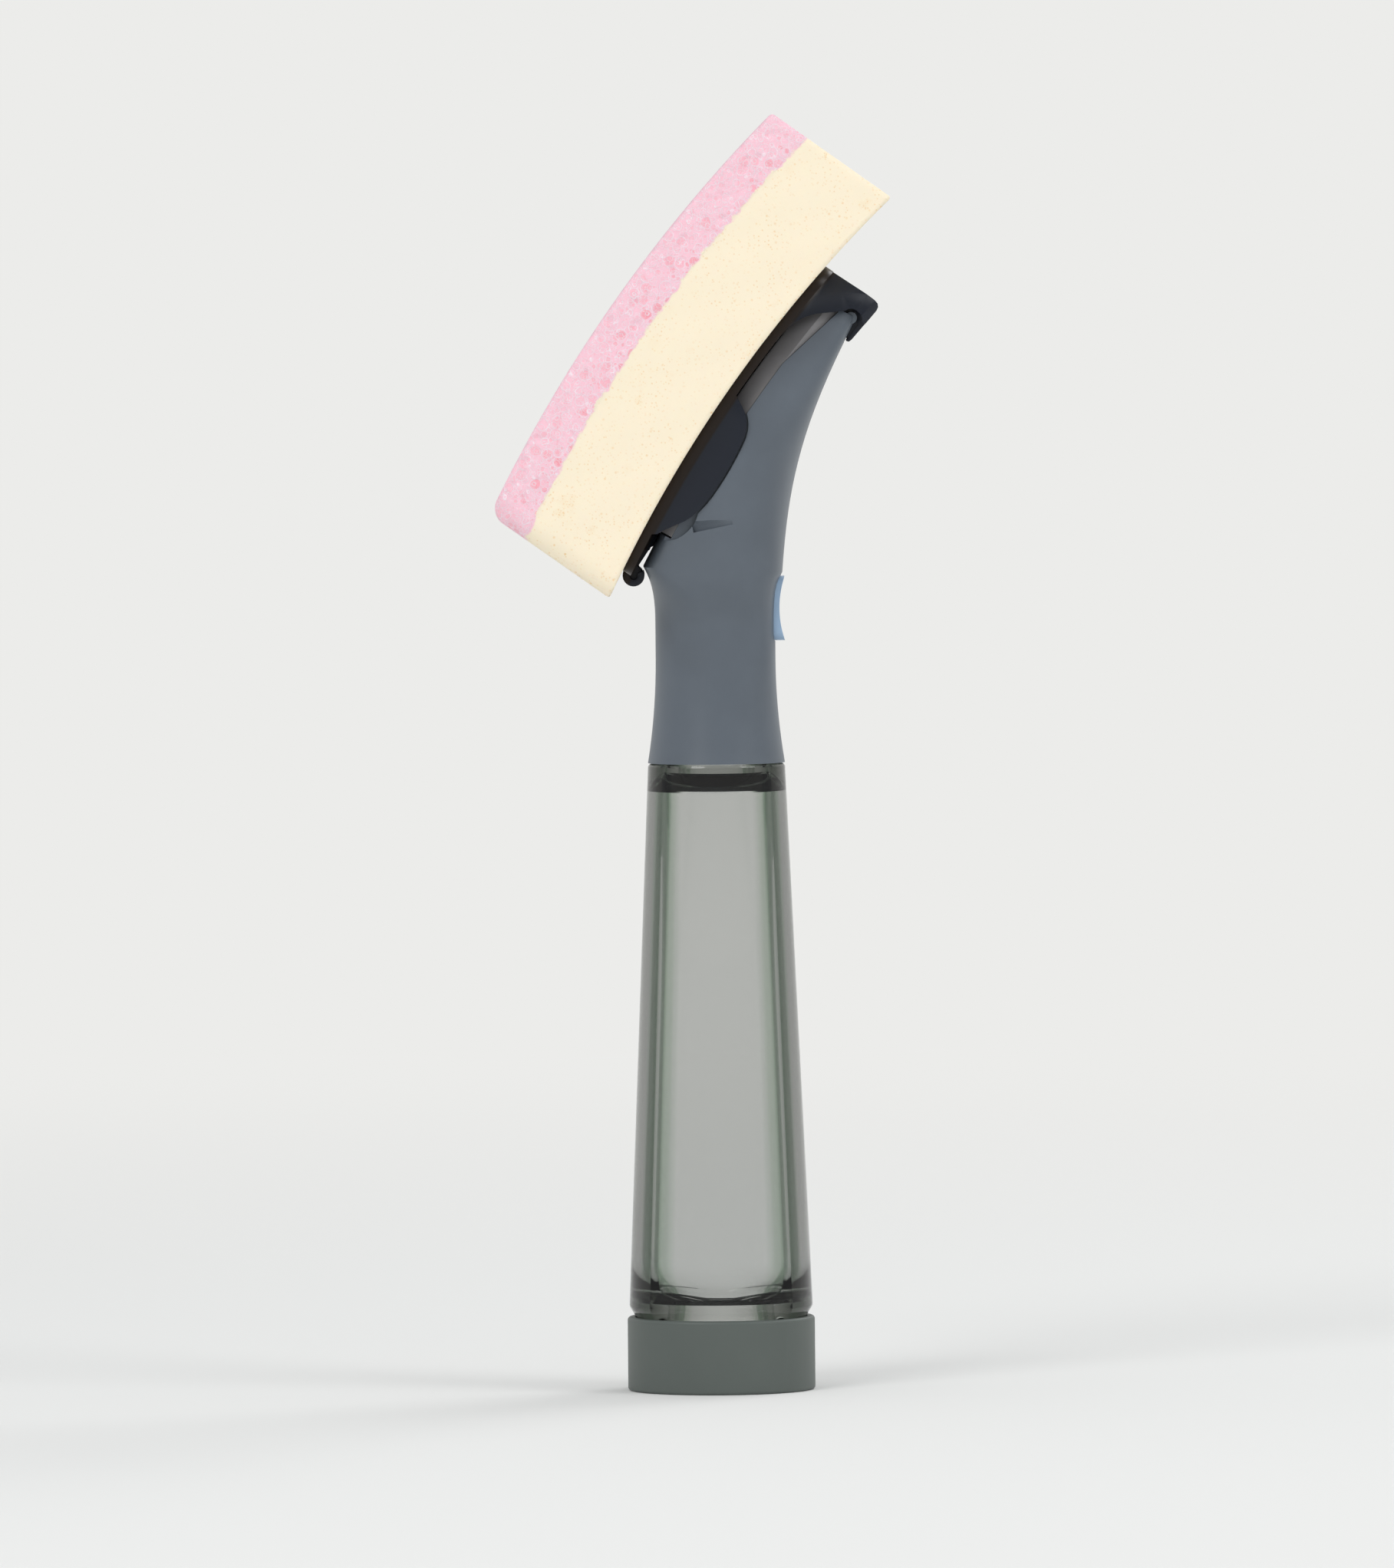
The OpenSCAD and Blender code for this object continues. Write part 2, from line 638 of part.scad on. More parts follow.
module stem_gland() {
    color(white_plastic) translate([flat_x - gland_t, 0, button_z]) rotate([0, 90, 0]) difference() {
        cylinder(r = gland_r, h = gland_t, $fn = round_fn);
        translate([0, 0, -1]) cylinder(r = stem_r + slide_fit, h = gland_t + 2, $fn = round_fn);
    }
}

module spring_plug() {
    color(white_plastic) translate([plug_x - plug_t, 0, button_z]) rotate([0, 90, 0])
        cylinder(r = spring_room_r - seat, h = plug_t, $fn = round_fn);
}

// The spring's wire runs round a helix, from the plug to the disc
spring_x1 = plug_x + 0.05 + wire_d / 2;
spring_x2 = disc_x - disc_t - 0.05 - wire_d / 2;
spring_r = disc_r - 0.6 - wire_d / 2;
function spring_at(t) = [
    mix(spring_x1, spring_x2, t),
    spring_r * cos(360 * spring_turns * t),
    button_z + spring_r * sin(360 * spring_turns * t)
];
echo(str("Least gap between the spring's turns: ",
    (spring_x2 - spring_x1) / spring_turns - wire_d, " mm"));

module return_spring() {
    steps = round(spring_turns * 10);
    color(steel) skin([for (i = [0:steps])
        let (t = i / steps, c = spring_at(t), a = 360 * spring_turns * t, out = [0, cos(a), sin(a)])
        [for (k = [0:5]) c + out * wire_d / 2 * cos(60 * k) + [wire_d / 2 * sin(60 * k), 0, 0]]]);
}

module valve_block() {
    color(white_plastic) difference() {
        translate([0, 0, button_z - block_low]) cylinder(r = block_r, h = block_low + block_high, $fn = round_fn);
        // Flat behind the button
        translate([flat_x, -20, button_z - button_h / 2 - 1.8]) cube([20, 40, button_h + 3.6]);
        translate([0, 0, button_z]) rotate([0, 90, 0]) {
            // Spring room, seat hole, outlet chamber, dividing wall's hole and gland bore
            translate([0, 0, -20]) cylinder(r = spring_room_r, h = 20 + seat_x - seat_t, $fn = round_fn);
            translate([0, 0, -20]) cylinder(r = stem_r + 0.8, h = 20 + seat_x + 0.5, $fn = round_fn);
            translate([0, 0, seat_x]) cylinder(r = 3.2, h = chamber_l - dividing_t, $fn = round_fn);
            cylinder(r = stem_r + 0.15, h = 20, $fn = round_fn);
            translate([0, 0, chamber_x]) cylinder(r = gland_r + seat / 2, h = 20, $fn = round_fn);
        }
        translate([inlet_x, 0, button_z - block_low - 1]) cylinder(r = 1.7, h = block_low, $fn = round_fn);
        translate([outlet_x, 0, button_z]) cylinder(r = 0.9, h = 20, $fn = round_fn);
        // Groove round the block
        translate([0, 0, button_z - block_low + 1.4]) rotate_extrude($fn = round_fn)
            translate([block_r - 1.4, -0.8]) square([3, 1.6]);
        // Groove round the outlet
        translate([outlet_x, 0, button_z + block_high - 1]) difference() {
            cylinder(r = 3.1, h = 3, $fn = round_fn);
            translate([0, 0, -1]) cylinder(r = 1.8, h = 5, $fn = round_fn);
        }
    }
}

module block_seal() {
    color(seal_rubber) translate([0, 0, button_z - block_low + 1.4])
        ring_seal(bore_r - slide_fit - 0.7, 1.4);
}

module outlet_seal() {
    color(seal_rubber) translate([outlet_x, 0, button_z + block_high - 0.45])
        ring_seal(2.45, 1);
}

module neck_gasket() {
    color(seal_rubber) translate([0, 0, gasket_z]) difference() {
        cylinder(r = block_r, h = gasket_t, $fn = round_fn);
        translate([0, 0, -1]) cylinder(r = spigot_hole_r, h = gasket_t + 2, $fn = round_fn);
    }
}

// Section of the handle: round at the sides, flatter in front and behind, with an edge between
edge_a = 39;
function handle_at(a, r, flat) =
    let (
        u = [abs(cos(a)), abs(sin(a))],
        e = r * [cos(edge_a), sin(edge_a)],
        d = flat * r,
        big = (e[0] * e[0] + pow(d - e[1], 2)) / (2 * (d - e[1])),
        c = [0, d - big],
        along_u = u * c
    )
    u[1] * cos(edge_a) < u[0] * sin(edge_a) ? r : along_u + sqrt(pow(along_u, 2) - c * c + big * big);
handle_angles = concat(
    [for (i = [0:7]) -edge_a + 2 * edge_a * i / 8],
    [for (i = [0:9]) edge_a + (180 - 2 * edge_a) * i / 10],
    [for (i = [0:7]) 180 - edge_a + 2 * edge_a * i / 8],
    [for (i = [0:9]) 180 + edge_a + (180 - 2 * edge_a) * i / 10]
);
function handle_ring(z, r, flat) =
    [for (a = handle_angles) let (q = handle_at(a, r, flat)) [q * cos(a), q * sin(a), z]];
// Half width and flatness of the handle at height z
function handle_r(z) = mix(foot_r, joint_r, (z - cap_h - foot_slope) / (handle_h - foot_slope));
function flat_at(z) = mix(flatness, 0.995, pow(max(0, (z - cap_h - handle_h * 0.55) / (handle_h * 0.45)), 2));

shoulder_z = cap_h + foot_slope;
liner_z = cap_floor;
foot_end = liner_z + liner_t + seat;
thread_r = mouth_r + mouth_wall;

module bottle() {
    tops = [for (i = [0:8]) mix(shoulder_z, joint_z - 0.6, i / 8)];
    low = cap_h - 1.2;
    in_low = shoulder_z + 3.4;
    in_tops = [for (i = [0:8]) mix(in_low + 2, joint_z - 6, i / 8)];
    spigot_r = bore_r - seat;
    top_wall = 2 * bottle_wall;
    color(smoke) difference() {
        union() {
            skin(concat(
                [handle_ring(low, foot_r - foot_slope * 0.6 - 0.9, mix(flatness, 1, 0.5)),
                 handle_ring(cap_h, foot_r - foot_slope * 0.6, mix(flatness, 1, 0.2))],
                [for (z = tops) handle_ring(z, handle_r(z), flat_at(z))],
                [handle_ring(joint_z - seat, joint_r - 0.6, 0.995)]));
            translate([0, 0, foot_end]) cylinder(r = thread_r, h = cap_h - foot_end, $fn = round_fn);
            translate([0, 0, joint_z - 3])
                cylinder(r = spigot_r, h = gasket_z - seat - joint_z + 3, $fn = round_fn);
            translate([0, 0, snap_z]) snap_ring();
        }
        skin(concat(
            [handle_ring(in_low - 0.4, mouth_r - 1.5, 0.97)],
            [for (z = in_tops) handle_ring(z, handle_r(z) - bottle_wall, flat_at(z) - 0.02)],
            [handle_ring(joint_z - 1.2, spigot_hole_r - 1.2, 0.98)]));
        cylinder(r = mouth_r, h = in_low + 1.8, $fn = round_fn);
        translate([0, 0, joint_z - top_wall])
            cylinder(r = spigot_hole_r, h = gasket_z - joint_z + top_wall + 1, $fn = round_fn);
    }
}

module base_cap() {
    bore = thread_r + play;
    lip_in_r = cap_r - cap_rim;
    color(dark_grey) rotate_extrude($fn = 180) difference() {
        union() {
            translate([0, cap_edge]) square([cap_r, cap_h - 2 * cap_edge]);
            square([cap_r - cap_edge, cap_h]);
            for (z = [cap_edge, cap_h - cap_edge])
                translate([cap_r - cap_edge, z]) circle(cap_edge, $fn = 48);
        }
        translate([0, cap_floor]) square([bore, cap_h]);
        translate([0, cap_h - 2.2]) square([lip_in_r, cap_h]);
    }
}

module cap_liner() {
    color(seal_rubber) translate([0, 0, liner_z + seat / 2]) difference() {
        cylinder(r = thread_r, h = liner_t, $fn = round_fn);
        translate([0, 0, -1]) cylinder(r = mouth_r - 1.6, h = liner_t + 2, $fn = round_fn);
    }
}

scourer_pad();
foam_block();
refill_carrier();
face_plate();
head_shell();
thumb_button();
valve_plunger();
poppet_seal();
return_spring();
spring_plug();
stem_seal();
stem_gland();
valve_block();
block_seal();
outlet_seal();
neck_gasket();
bottle();
base_cap();
cap_liner();
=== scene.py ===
"""Dish wand: the visible pieces, finishes, light and camera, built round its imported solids."""

import math

import bmesh
import bpy
import numpy as np
from bpy.props import FloatProperty, FloatVectorProperty, IntProperty, PointerProperty
from mathutils import Matrix, Vector


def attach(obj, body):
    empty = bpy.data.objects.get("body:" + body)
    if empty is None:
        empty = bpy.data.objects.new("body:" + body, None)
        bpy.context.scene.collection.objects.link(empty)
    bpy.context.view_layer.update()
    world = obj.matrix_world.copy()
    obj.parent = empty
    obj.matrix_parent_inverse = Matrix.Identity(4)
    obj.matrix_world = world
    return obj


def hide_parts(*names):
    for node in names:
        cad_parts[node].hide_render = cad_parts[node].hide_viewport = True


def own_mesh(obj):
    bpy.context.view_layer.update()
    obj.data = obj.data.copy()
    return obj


bl_info = {
    "name": "Dish wand",
    "version": (1, 0, 0),
    "blender": (4, 5, 0),
    "location": "View3D > Sidebar > Dish wand",
    "description": "Builds a soap-filled dish wand with a curved sponge refill",
    "category": "Object",
}

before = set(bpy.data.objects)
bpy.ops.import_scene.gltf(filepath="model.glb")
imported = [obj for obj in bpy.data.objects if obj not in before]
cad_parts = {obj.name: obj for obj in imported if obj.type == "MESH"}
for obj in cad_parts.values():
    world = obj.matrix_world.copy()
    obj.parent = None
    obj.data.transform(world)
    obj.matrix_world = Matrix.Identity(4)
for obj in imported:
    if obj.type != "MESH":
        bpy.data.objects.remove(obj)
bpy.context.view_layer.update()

# Sizes shared with the solids, in metres
MM = 0.001
FACE_R = 277.4 * MM
HEEL = (-15.0 * MM, 173.5 * MM)
HEEL_ANGLE = math.radians(153.1)
BEND = (HEEL[0] - FACE_R * math.cos(HEEL_ANGLE), HEEL[1] - FACE_R * math.sin(HEEL_ANGLE))
SPONGE_MID = HEEL_ANGLE - 42.1 * MM / FACE_R
SPONGE_L = 103.0 * MM
SPONGE_W = 46.0 * MM
FOAM_R1 = 281.0 * MM
FOAM_R2 = 302.25 * MM
SCOURER_R2 = 311.1 * MM
CAP_H = 15.5 * MM
JOINT_Z = 132.0 * MM
FOOT_R = 19.3 * MM
JOINT_R = 14.4 * MM
FLATNESS = 0.86
JOINT_FLATNESS = 0.995
CREASE = math.radians(39.0)
BOTTLE_WALL = 2.3 * MM
HANDLE_H = 116.5 * MM
SHOULDER_Z = 17.7 * MM
FOOT_END = 4.1 * MM
MOUTH_R = 13.0 * MM
THREAD_R = 15.4 * MM
THREAD_LEAD = 3.0 * MM
THREAD_DEPTH = 0.22 * MM
SNAP_Z = 138.0 * MM
SPIGOT_TOP = 151.5 * MM
SPIGOT_R = 10.6 * MM
SPIGOT_BORE_R = 8.2 * MM
NOSE = (28.977 * MM, 225.245 * MM)
NOSE_ANGLE = HEEL_ANGLE - 68.6 * MM / FACE_R
NOSE_R = 1.25 * MM
NOSE_WEB_W = 11.4 * MM
BUTTON_Z = 164.4 * MM
SPRING_X1 = -8.4 * MM
SPRING_X2 = -3.2 * MM
SPRING_R = 3.15 * MM
SPRING_WIRE = 0.25 * MM
SPRING_TURNS = 4.0
# The valve's and the seals' solids, which show as they are
VALVE_NODES = ("valve_block", "valve_plunger", "spring_plug", "stem_gland")
SEAL_NODES = ("poppet_seal", "stem_seal", "block_seal", "outlet_seal", "neck_gasket", "cap_liner")
# Radii of the bend between which the carrier turns from black to a painted brown reflection of the sponge
REFLECTION_R1 = 278.2 * MM
REFLECTION_R2 = 278.7 * MM
# Mesh attribute: how free of the glue line a point of the foam is, from 0 to 1
FREE = "free"
# Mouldings: the distance that merges points, and the angle that makes an edge sharp
MERGE = 0.004 * MM
SHARP_ANGLE = math.radians(32.0)
# Half the width of the blend where the foams meet, the cells' randomness, and the side waves' depth
LAYER_BLEND = 0.35 * MM
CELL_RANDOMNESS = 0.85
SIDE_WAVE = 0.15 * MM
# The web inside the latch's hook: real plastic, and a dark fill that stands in for the shade in the hook's
# gap. Points along the face and over it, and its width
LATCH_WEB_W = 9.0 * MM
LATCH_WEB = [
    (s * MM, r * MM)
    for s, r in (
        (8.0, 0.06), (4.6, 0.06), (4.3, 0.42), (-0.4, 0.95), (-0.75, -0.1), (-1.6, -0.9), (-3.0, -0.7),
        (-3.9, 0.6), (-3.2, 2.1), (8.0, 2.1),
    )
]
# Sizes of the scourer's cells: share of the cell size, rim width, share shut, and the strength of
# rims and of insides
FOAM_CELL_SIZES = (
    (1.0, 0.035, 0.35, 1.0, 1.0),
    (0.58, 0.05, 0.4, 0.9, 0.8),
    (0.3, 0.09, 0.5, 0.5, 0.5),
)


def srgb(red, green, blue, alpha=1.0):
    """A colour given as 0 to 255, in the linear values that shaders take."""
    values = []
    for value in (red, green, blue):
        share = value / 255
        values.append(share / 12.92 if share <= 0.04045 else ((share + 0.055) / 1.055) ** 2.4)
    return (*values, alpha)


# Settings

def colour(name, description, value):
    """A colour property with its name, description and default."""
    return FloatVectorProperty(
        name=name, description=description, default=value, size=4, min=0.0, max=1.0, subtype="COLOR"
    )


def length(name, description, value, low=0.0, high=1.0):
    """A length property in metres."""
    return FloatProperty(
        name=name, description=description, default=value, min=low, max=high, unit="LENGTH", precision=5
    )


class RefillSettings(bpy.types.PropertyGroup):
    """Sizes and colours of the sponge refill"""

    web_pink: colour("Rims", "Colour of the scourer's cell rims", srgb(255, 236, 243))
    pale_pink: colour("Scourer", "Colour of the scourer between its open cells", srgb(255, 204, 218))
    cell_pink: colour("Cells", "Colour inside the scourer's open cells", srgb(250, 160, 174))
    cream: colour("Sponge", "Colour of the fine sponge", srgb(255, 240, 214))
    pore_cream: colour("Pores", "Colour inside the fine sponge's pores", srgb(243, 205, 148))
    cell_size: length("Cell size", "Width of the scourer's larger cells", 2.6 * MM)
    cell_depth: length("Cell depth", "Depth of the scourer's cells", 0.38 * MM)
    edge_round: length("Edges", "Radius of the sponge's edges", 0.7 * MM)
    corner: length("Worn corner", "Radius of the scourer's lower outer corner", 3.2 * MM)
    low_end: length("Low end", "Radius of the edges across the sponge's lower end", 4.2 * MM)
    waver: length("Waver", "How unevenly the pink and cream foams meet", 3.4 * MM)
    glue_fade: length("Glue fade", "Distance from the glue line where cells are full depth", 1.6 * MM)
    grid: length("Grid", "Spacing of the sponge's mesh", 0.4 * MM, 0.2 * MM, 2 * MM)
    black: colour("Carrier", "Colour of the refill's plastic back", srgb(24, 29, 40))
    # Painted reflection: the brown that the plate's edge shows beside the sponge, painted into its colour
    sponge_reflection_brown: colour("Painted sponge reflection", "Colour of the plate's edge, by the sponge", srgb(27, 14, 3))


class HandleSettings(bpy.types.PropertyGroup):
    """Colours of the handle, head and cap"""

    slate: colour("Head", "Colour of the head and neck", srgb(92, 100, 109))
    # Partly painted light: the plate's own lighter grey, made lighter still to make up for the shade it
    # sits in under the hood
    plate: colour("Face plate", "Colour of the head's face plate", srgb(134, 132, 133))
    blue: colour("Button", "Colour of the thumb button", srgb(150, 176, 203))
    smoke: colour("Bottle", "Tint of the clear handle's front and back", (0.95, 0.95, 0.95, 1.0))
    # Painted shade: the darker round sides, the green crease lines and the bands inside them are painted
    # into the clear plastic's colour where its edges darken in the light
    painted_side_shade: colour("Bottle side shade", "Tint of the clear handle's round sides", (0.56, 0.56, 0.56, 1.0))
    painted_crease_shade: colour("Bottle crease shade", "Tint along the handle's creases", (0.28, 0.37, 0.29, 1.0))
    painted_inner_shade: colour("Bottle crease band shade", "Tint inside the handle's creases", (0.76, 0.81, 0.76, 1.0))
    smoke_depth: colour("Smoke", "Colour that the handle lets through", (0.42, 0.44, 0.41, 1.0))
    smoke_density: FloatProperty(
        name="Smoke density", description="How fast the clear handle darkens with thickness, in 1/m",
        default=210.0, min=0.0, max=2000.0,
    )
    cap: colour("Cap", "Colour of the base cap", srgb(88, 95, 91))
    edge: length("Edge", "Width of the rounded edges on mouldings", 0.3 * MM)
    ring_points: IntProperty(
        name="Ring points", description="Points round the handle", default=144, min=36
    )


class StageSettings(bpy.types.PropertyGroup):
    """Floor, light and camera"""

    floor: colour("Floor", "Colour of the floor and backdrop", srgb(236, 236, 234))
    distance: length("Distance", "Distance from the camera to the wand", 3.8, 0.5, 20.0)
    height: length("Camera height", "Height of the camera above the floor", 0.26, 0.0, 5.0)
    fade_start: length("Fade start", "Distance where the backdrop starts to turn plain", 0.15, 0.0, 5.0)
    fade_end: length("Fade end", "Distance where the backdrop is all plain", 1.4, 0.0, 5.0)
    key: FloatProperty(name="Key light", description="Power of the main lamp", default=18.0, unit="POWER")
    fill: FloatProperty(name="Fill light", description="Power of the side lamp", default=9.5, unit="POWER")


# Mesh helpers

def new_object(name, mesh, material):
    """Links a mesh as an object at the origin, with its material."""
    obj = bpy.data.objects.new(name, mesh)
    bpy.context.scene.collection.objects.link(obj)
    mesh.materials.clear()
    mesh.materials.append(material)
    return obj


def mesh_from(name, points, faces, smooth_angle=40.0):
    """A mesh from points and faces, smooth except at edges sharper than an angle."""
    mesh = bpy.data.meshes.new(name)
    mesh.from_pydata([tuple(p) for p in points], [], [tuple(f) for f in faces])
    mesh.validate()
    mesh.update()
    mesh.shade_smooth()
    mesh.set_sharp_from_angle(angle=math.radians(smooth_angle))
    return mesh


def apply_modifiers(obj):
    """Turns an object's modifiers into its plain mesh."""
    depsgraph = bpy.context.evaluated_depsgraph_get()
    mesh = bpy.data.meshes.new_from_object(obj.evaluated_get(depsgraph))
    mesh.name = obj.name
    obj.modifiers.clear()
    obj.data = mesh
    return obj


def moulded_copy(node, name, material, edge):
    """A merged copy of a solid's mesh with narrow rounded edges, as a moulding has."""
    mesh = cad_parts[node].data.copy()
    mesh.name = name
    work = bmesh.new()
    work.from_mesh(mesh)
    bmesh.ops.remove_doubles(work, verts=work.verts, dist=MERGE)
    bmesh.ops.dissolve_degenerate(work, edges=work.edges, dist=MERGE)
    work.to_mesh(mesh)
    work.free()
    for attribute in [a.name for a in mesh.attributes if a.name == "custom_normal"]:
        mesh.attributes.remove(mesh.attributes[attribute])
    mesh.shade_smooth()
    mesh.set_sharp_from_angle(angle=SHARP_ANGLE)
    obj = new_object(name, mesh, material)
    if edge > 0:
        bevel = obj.modifiers.new("edge", "BEVEL")
        bevel.width = edge
        bevel.segments = 2
        bevel.limit_method = "ANGLE"
        bevel.angle_limit = SHARP_ANGLE
        apply_modifiers(obj)
        obj.data.set_sharp_from_angle(angle=SHARP_ANGLE)
    return obj


def face_point(s, r):
    """A point of the XZ plane, at a length along the face from the heel and a height over the face."""
    angle = HEEL_ANGLE - s / FACE_R
    return BEND[0] + (FACE_R + r) * math.cos(angle), BEND[1] + (FACE_R + r) * math.sin(angle)


def nose_point(u, v):
    """A point of the XZ plane from the nose's centre: towards the nose's tip, then out of the face."""
    return NOSE[0] + u * math.sin(NOSE_ANGLE) + v * math.cos(NOSE_ANGLE), (
        NOSE[1] - u * math.cos(NOSE_ANGLE) + v * math.sin(NOSE_ANGLE)
    )


def nose_web_outline():
    """Outline of the web that fills the hook round the nose, a dark fill standing in for the shade in that
    gap: along the nose, then inside the lip.
    """
    inner = NOSE_R + 0.02 * MM
    outer = NOSE_R + 1.0 * MM
    reach = 4.3 * MM
    lip = -NOSE_R - 1.2 * MM
    start = math.radians(95)
    end = math.radians(-152)

    def arc(radius, first, last, count):
        angles = np.linspace(first, last, count)
        return [(radius * math.cos(angle), radius * math.sin(angle)) for angle in angles]

    outline = arc(inner, start, end, 29) + arc(reach, end, end, 1)
    outline += [(-3.9 * MM, lip), (0.0, lip)] + arc(outer, math.radians(-50), start, 13)
    return [nose_point(u, v) for u, v in outline]


def extruded(name, outline, width, material, edge):
    """A prism across the wand from an outline in the XZ plane, with narrow rounded edges."""
    count = len(outline)
    points = [(x, side * width / 2, z) for side in (-1, 1) for x, z in outline]
    faces = [tuple(range(count)), tuple(range(2 * count - 1, count - 1, -1))]
    faces += [(i, i + count, (i + 1) % count + count, (i + 1) % count) for i in range(count)]
    obj = new_object(name, mesh_from(name, points, faces), material)
    work = bmesh.new()
    work.from_mesh(obj.data)
    bmesh.ops.recalc_face_normals(work, faces=work.faces)
    work.to_mesh(obj.data)
    work.free()
    bevel = obj.modifiers.new("edge", "BEVEL")
    bevel.width = edge
    bevel.segments = 2
    apply_modifiers(obj)
    return obj


def place(obj, body, slot, *nodes):
    """Rides a piece on a body, in place of the solids that it stands for."""
    if nodes:
        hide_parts(*nodes)
    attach(obj, body)
    return obj


# Node helpers

def new_material(name):
    """A material with an empty Principled shader, and its node tree's parts."""
    material = bpy.data.materials.new(name)
    material.use_nodes = True
    tree = material.node_tree
    return material, tree, tree.nodes["Principled BSDF"]


def feed(tree, socket, value):
    """Joins an output to a socket, or gives the socket a plain value."""
    if hasattr(value, "is_output"):
        tree.links.new(value, socket)
    else:
        socket.default_value = value


def set_inputs(tree, node, **values):
    """Feeds a node's sockets by name, with _ for a space."""
    for name, value in values.items():
        feed(tree, node.inputs[name.replace("_", " ")], value)


def add(tree, kind, **values):
    """A node of a kind. Names that start with in_ are its sockets, and the others are its settings."""
    node = tree.nodes.new(kind)
    for key, value in values.items():
        if key.startswith("in_"):
            set_inputs(tree, node, **{key[3:]: value})
        else:
            setattr(node, key, value)
    return node


def joined(tree, operation, first, second=0.0):
    """The result of a math operation on two values, each an output or a number."""
    node = add(tree, "ShaderNodeMath", operation=operation)
    feed(tree, node.inputs[0], first)
    feed(tree, node.inputs[1], second)
    return node.outputs[0]


def joined_vectors(tree, operation, first, second):
    """The result of a vector math operation on two values, each an output or a vector."""
    node = add(tree, "ShaderNodeVectorMath", operation=operation)
    feed(tree, node.inputs[0], first)
    feed(tree, node.inputs[1], second)
    return node.outputs["Vector"]


def map_range(tree, value, start, end, low=0.0, high=1.0, kind="LINEAR"):
    """A value taken from one range to another, and held at its ends."""
    node = add(
        tree, "ShaderNodeMapRange", interpolation_type=kind,
        in_Value=value, in_From_Min=start, in_From_Max=end, in_To_Min=low, in_To_Max=high,
    )
    return node.outputs["Result"]


def noise(tree, vector, scale, detail, roughness=0.5):
    """The value of a noise at a place."""
    node = add(
        tree, "ShaderNodeTexNoise",
        in_Vector=vector, in_Scale=scale, in_Detail=detail, in_Roughness=roughness,
    )
    return node.outputs["Fac"]


def object_coordinates(tree):
    """The output that gives a point's place on the object."""
    return add(tree, "ShaderNodeTexCoord").outputs["Object"]


def ramp(tree, source, stops):
    """A colour ramp through (position, value) stops, where a value is a number or a colour."""
    node = add(tree, "ShaderNodeValToRGB", in_Fac=source)
    elements = node.color_ramp.elements
    while len(elements) > 1:
        elements.remove(elements[-1])
    for index, (position, value) in enumerate(stops):
        element = elements[0] if index == 0 else elements.new(position)
        element.position = position
        element.color = value if hasattr(value, "__len__") else (value, value, value, 1.0)
    return node.outputs["Color"]


def mixed_colours(tree, factor, first, second):
    """A mix of two colours, each an output or a value."""
    node = add(tree, "ShaderNodeMix", data_type="RGBA", in_Factor=factor, in_A=first, in_B=second)
    return node.outputs["Result"]


def mixed_shaders(tree, factor, first, second, end):
    """Joins a mix of two shaders to the surface of the tree's output."""
    pick = add(tree, "ShaderNodeMixShader", in_Fac=factor)
    tree.links.new(first.outputs[0], pick.inputs[1])
    tree.links.new(second.outputs[0], pick.inputs[2])
    tree.links.new(pick.outputs[0], tree.nodes[end].inputs["Surface"])


def add_bump(tree, shader, height, strength, distance):
    """Joins a height to a shader's normal."""
    bump = add(tree, "ShaderNodeBump", in_Strength=strength, in_Distance=distance, in_Height=height)
    tree.links.new(bump.outputs["Normal"], shader.inputs["Normal"])


def node_group(name, kind, inputs, outputs):
    """A node group with inputs (name, kind, default) and outputs (name, kind)."""
    group = bpy.data.node_groups.new(name, kind)
    for label, socket_kind, default in inputs:
        socket = group.interface.new_socket(
            name=label, in_out="INPUT", socket_type="NodeSocket" + socket_kind
        )
        if default is not None:
            socket.default_value = default
    for label, socket_kind in outputs:
        group.interface.new_socket(
            name=label, in_out="OUTPUT", socket_type="NodeSocket" + socket_kind
        )
    return group, group.nodes.new("NodeGroupInput").outputs, group.nodes.new("NodeGroupOutput")


# Materials

def moulded_grain():
    """Group: the fine spark-eroded grain of a satin moulding, with faint handling marks."""
    found = bpy.data.node_groups.get("moulded_grain")
    if found:
        return found
    group, given, result = node_group(
        "moulded_grain", "ShaderNodeTree",
        [
            ("Vector", "Vector", None),
            ("Grain scale", "Float", 2600.0),
            ("Roughness", "Float", 0.45),
            ("Spread", "Float", 0.08),
        ],
        [("Height", "Float"), ("Roughness", "Float"), ("Mottle", "Float")],
    )
    grain = noise(group, given["Vector"], given["Grain scale"], 3.0, 0.6)
    marks = noise(group, given["Vector"], 55.0, 4.0, 0.55)
    shift = joined(group, "MULTIPLY", joined(group, "SUBTRACT", marks, 0.5), given["Spread"])
    rough = joined(group, "ADD", shift, given["Roughness"])
    set_inputs(group, result, Height=grain, Roughness=rough, Mottle=marks)
    return group


def add_grain(tree, shader, roughness, spread, scale, strength):
    """Joins the grain group to a shader's roughness and normal, and gives its mottle."""
    group = add(
        tree, "ShaderNodeGroup", node_tree=moulded_grain(), in_Vector=object_coordinates(tree),
        in_Grain_scale=scale, in_Roughness=roughness, in_Spread=spread,
    )
    set_inputs(tree, shader, Roughness=group.outputs["Roughness"])
    add_bump(tree, shader, group.outputs["Height"], strength, 0.05 * MM)
    return group.outputs["Mottle"]


def moulding(name, base, roughness=0.45, spread=0.1, scale=2600.0, strength=0.25, mottle=0.06):
    """A moulded plastic with a fine grain and a slightly uneven colour."""
    material, tree, shader = new_material(name)
    set_inputs(tree, shader, Base_Color=base, IOR=1.46)
    uneven = add_grain(tree, shader, roughness, spread, scale, strength)
    low = tuple(channel * (1 - mottle) for channel in base[:3]) + (1.0,)
    high = tuple(min(1.0, channel * (1 + mottle)) for channel in base[:3]) + (1.0,)
    set_inputs(tree, shader, Base_Color=ramp(tree, uneven, [(0.35, low), (0.65, high)]))
    return material


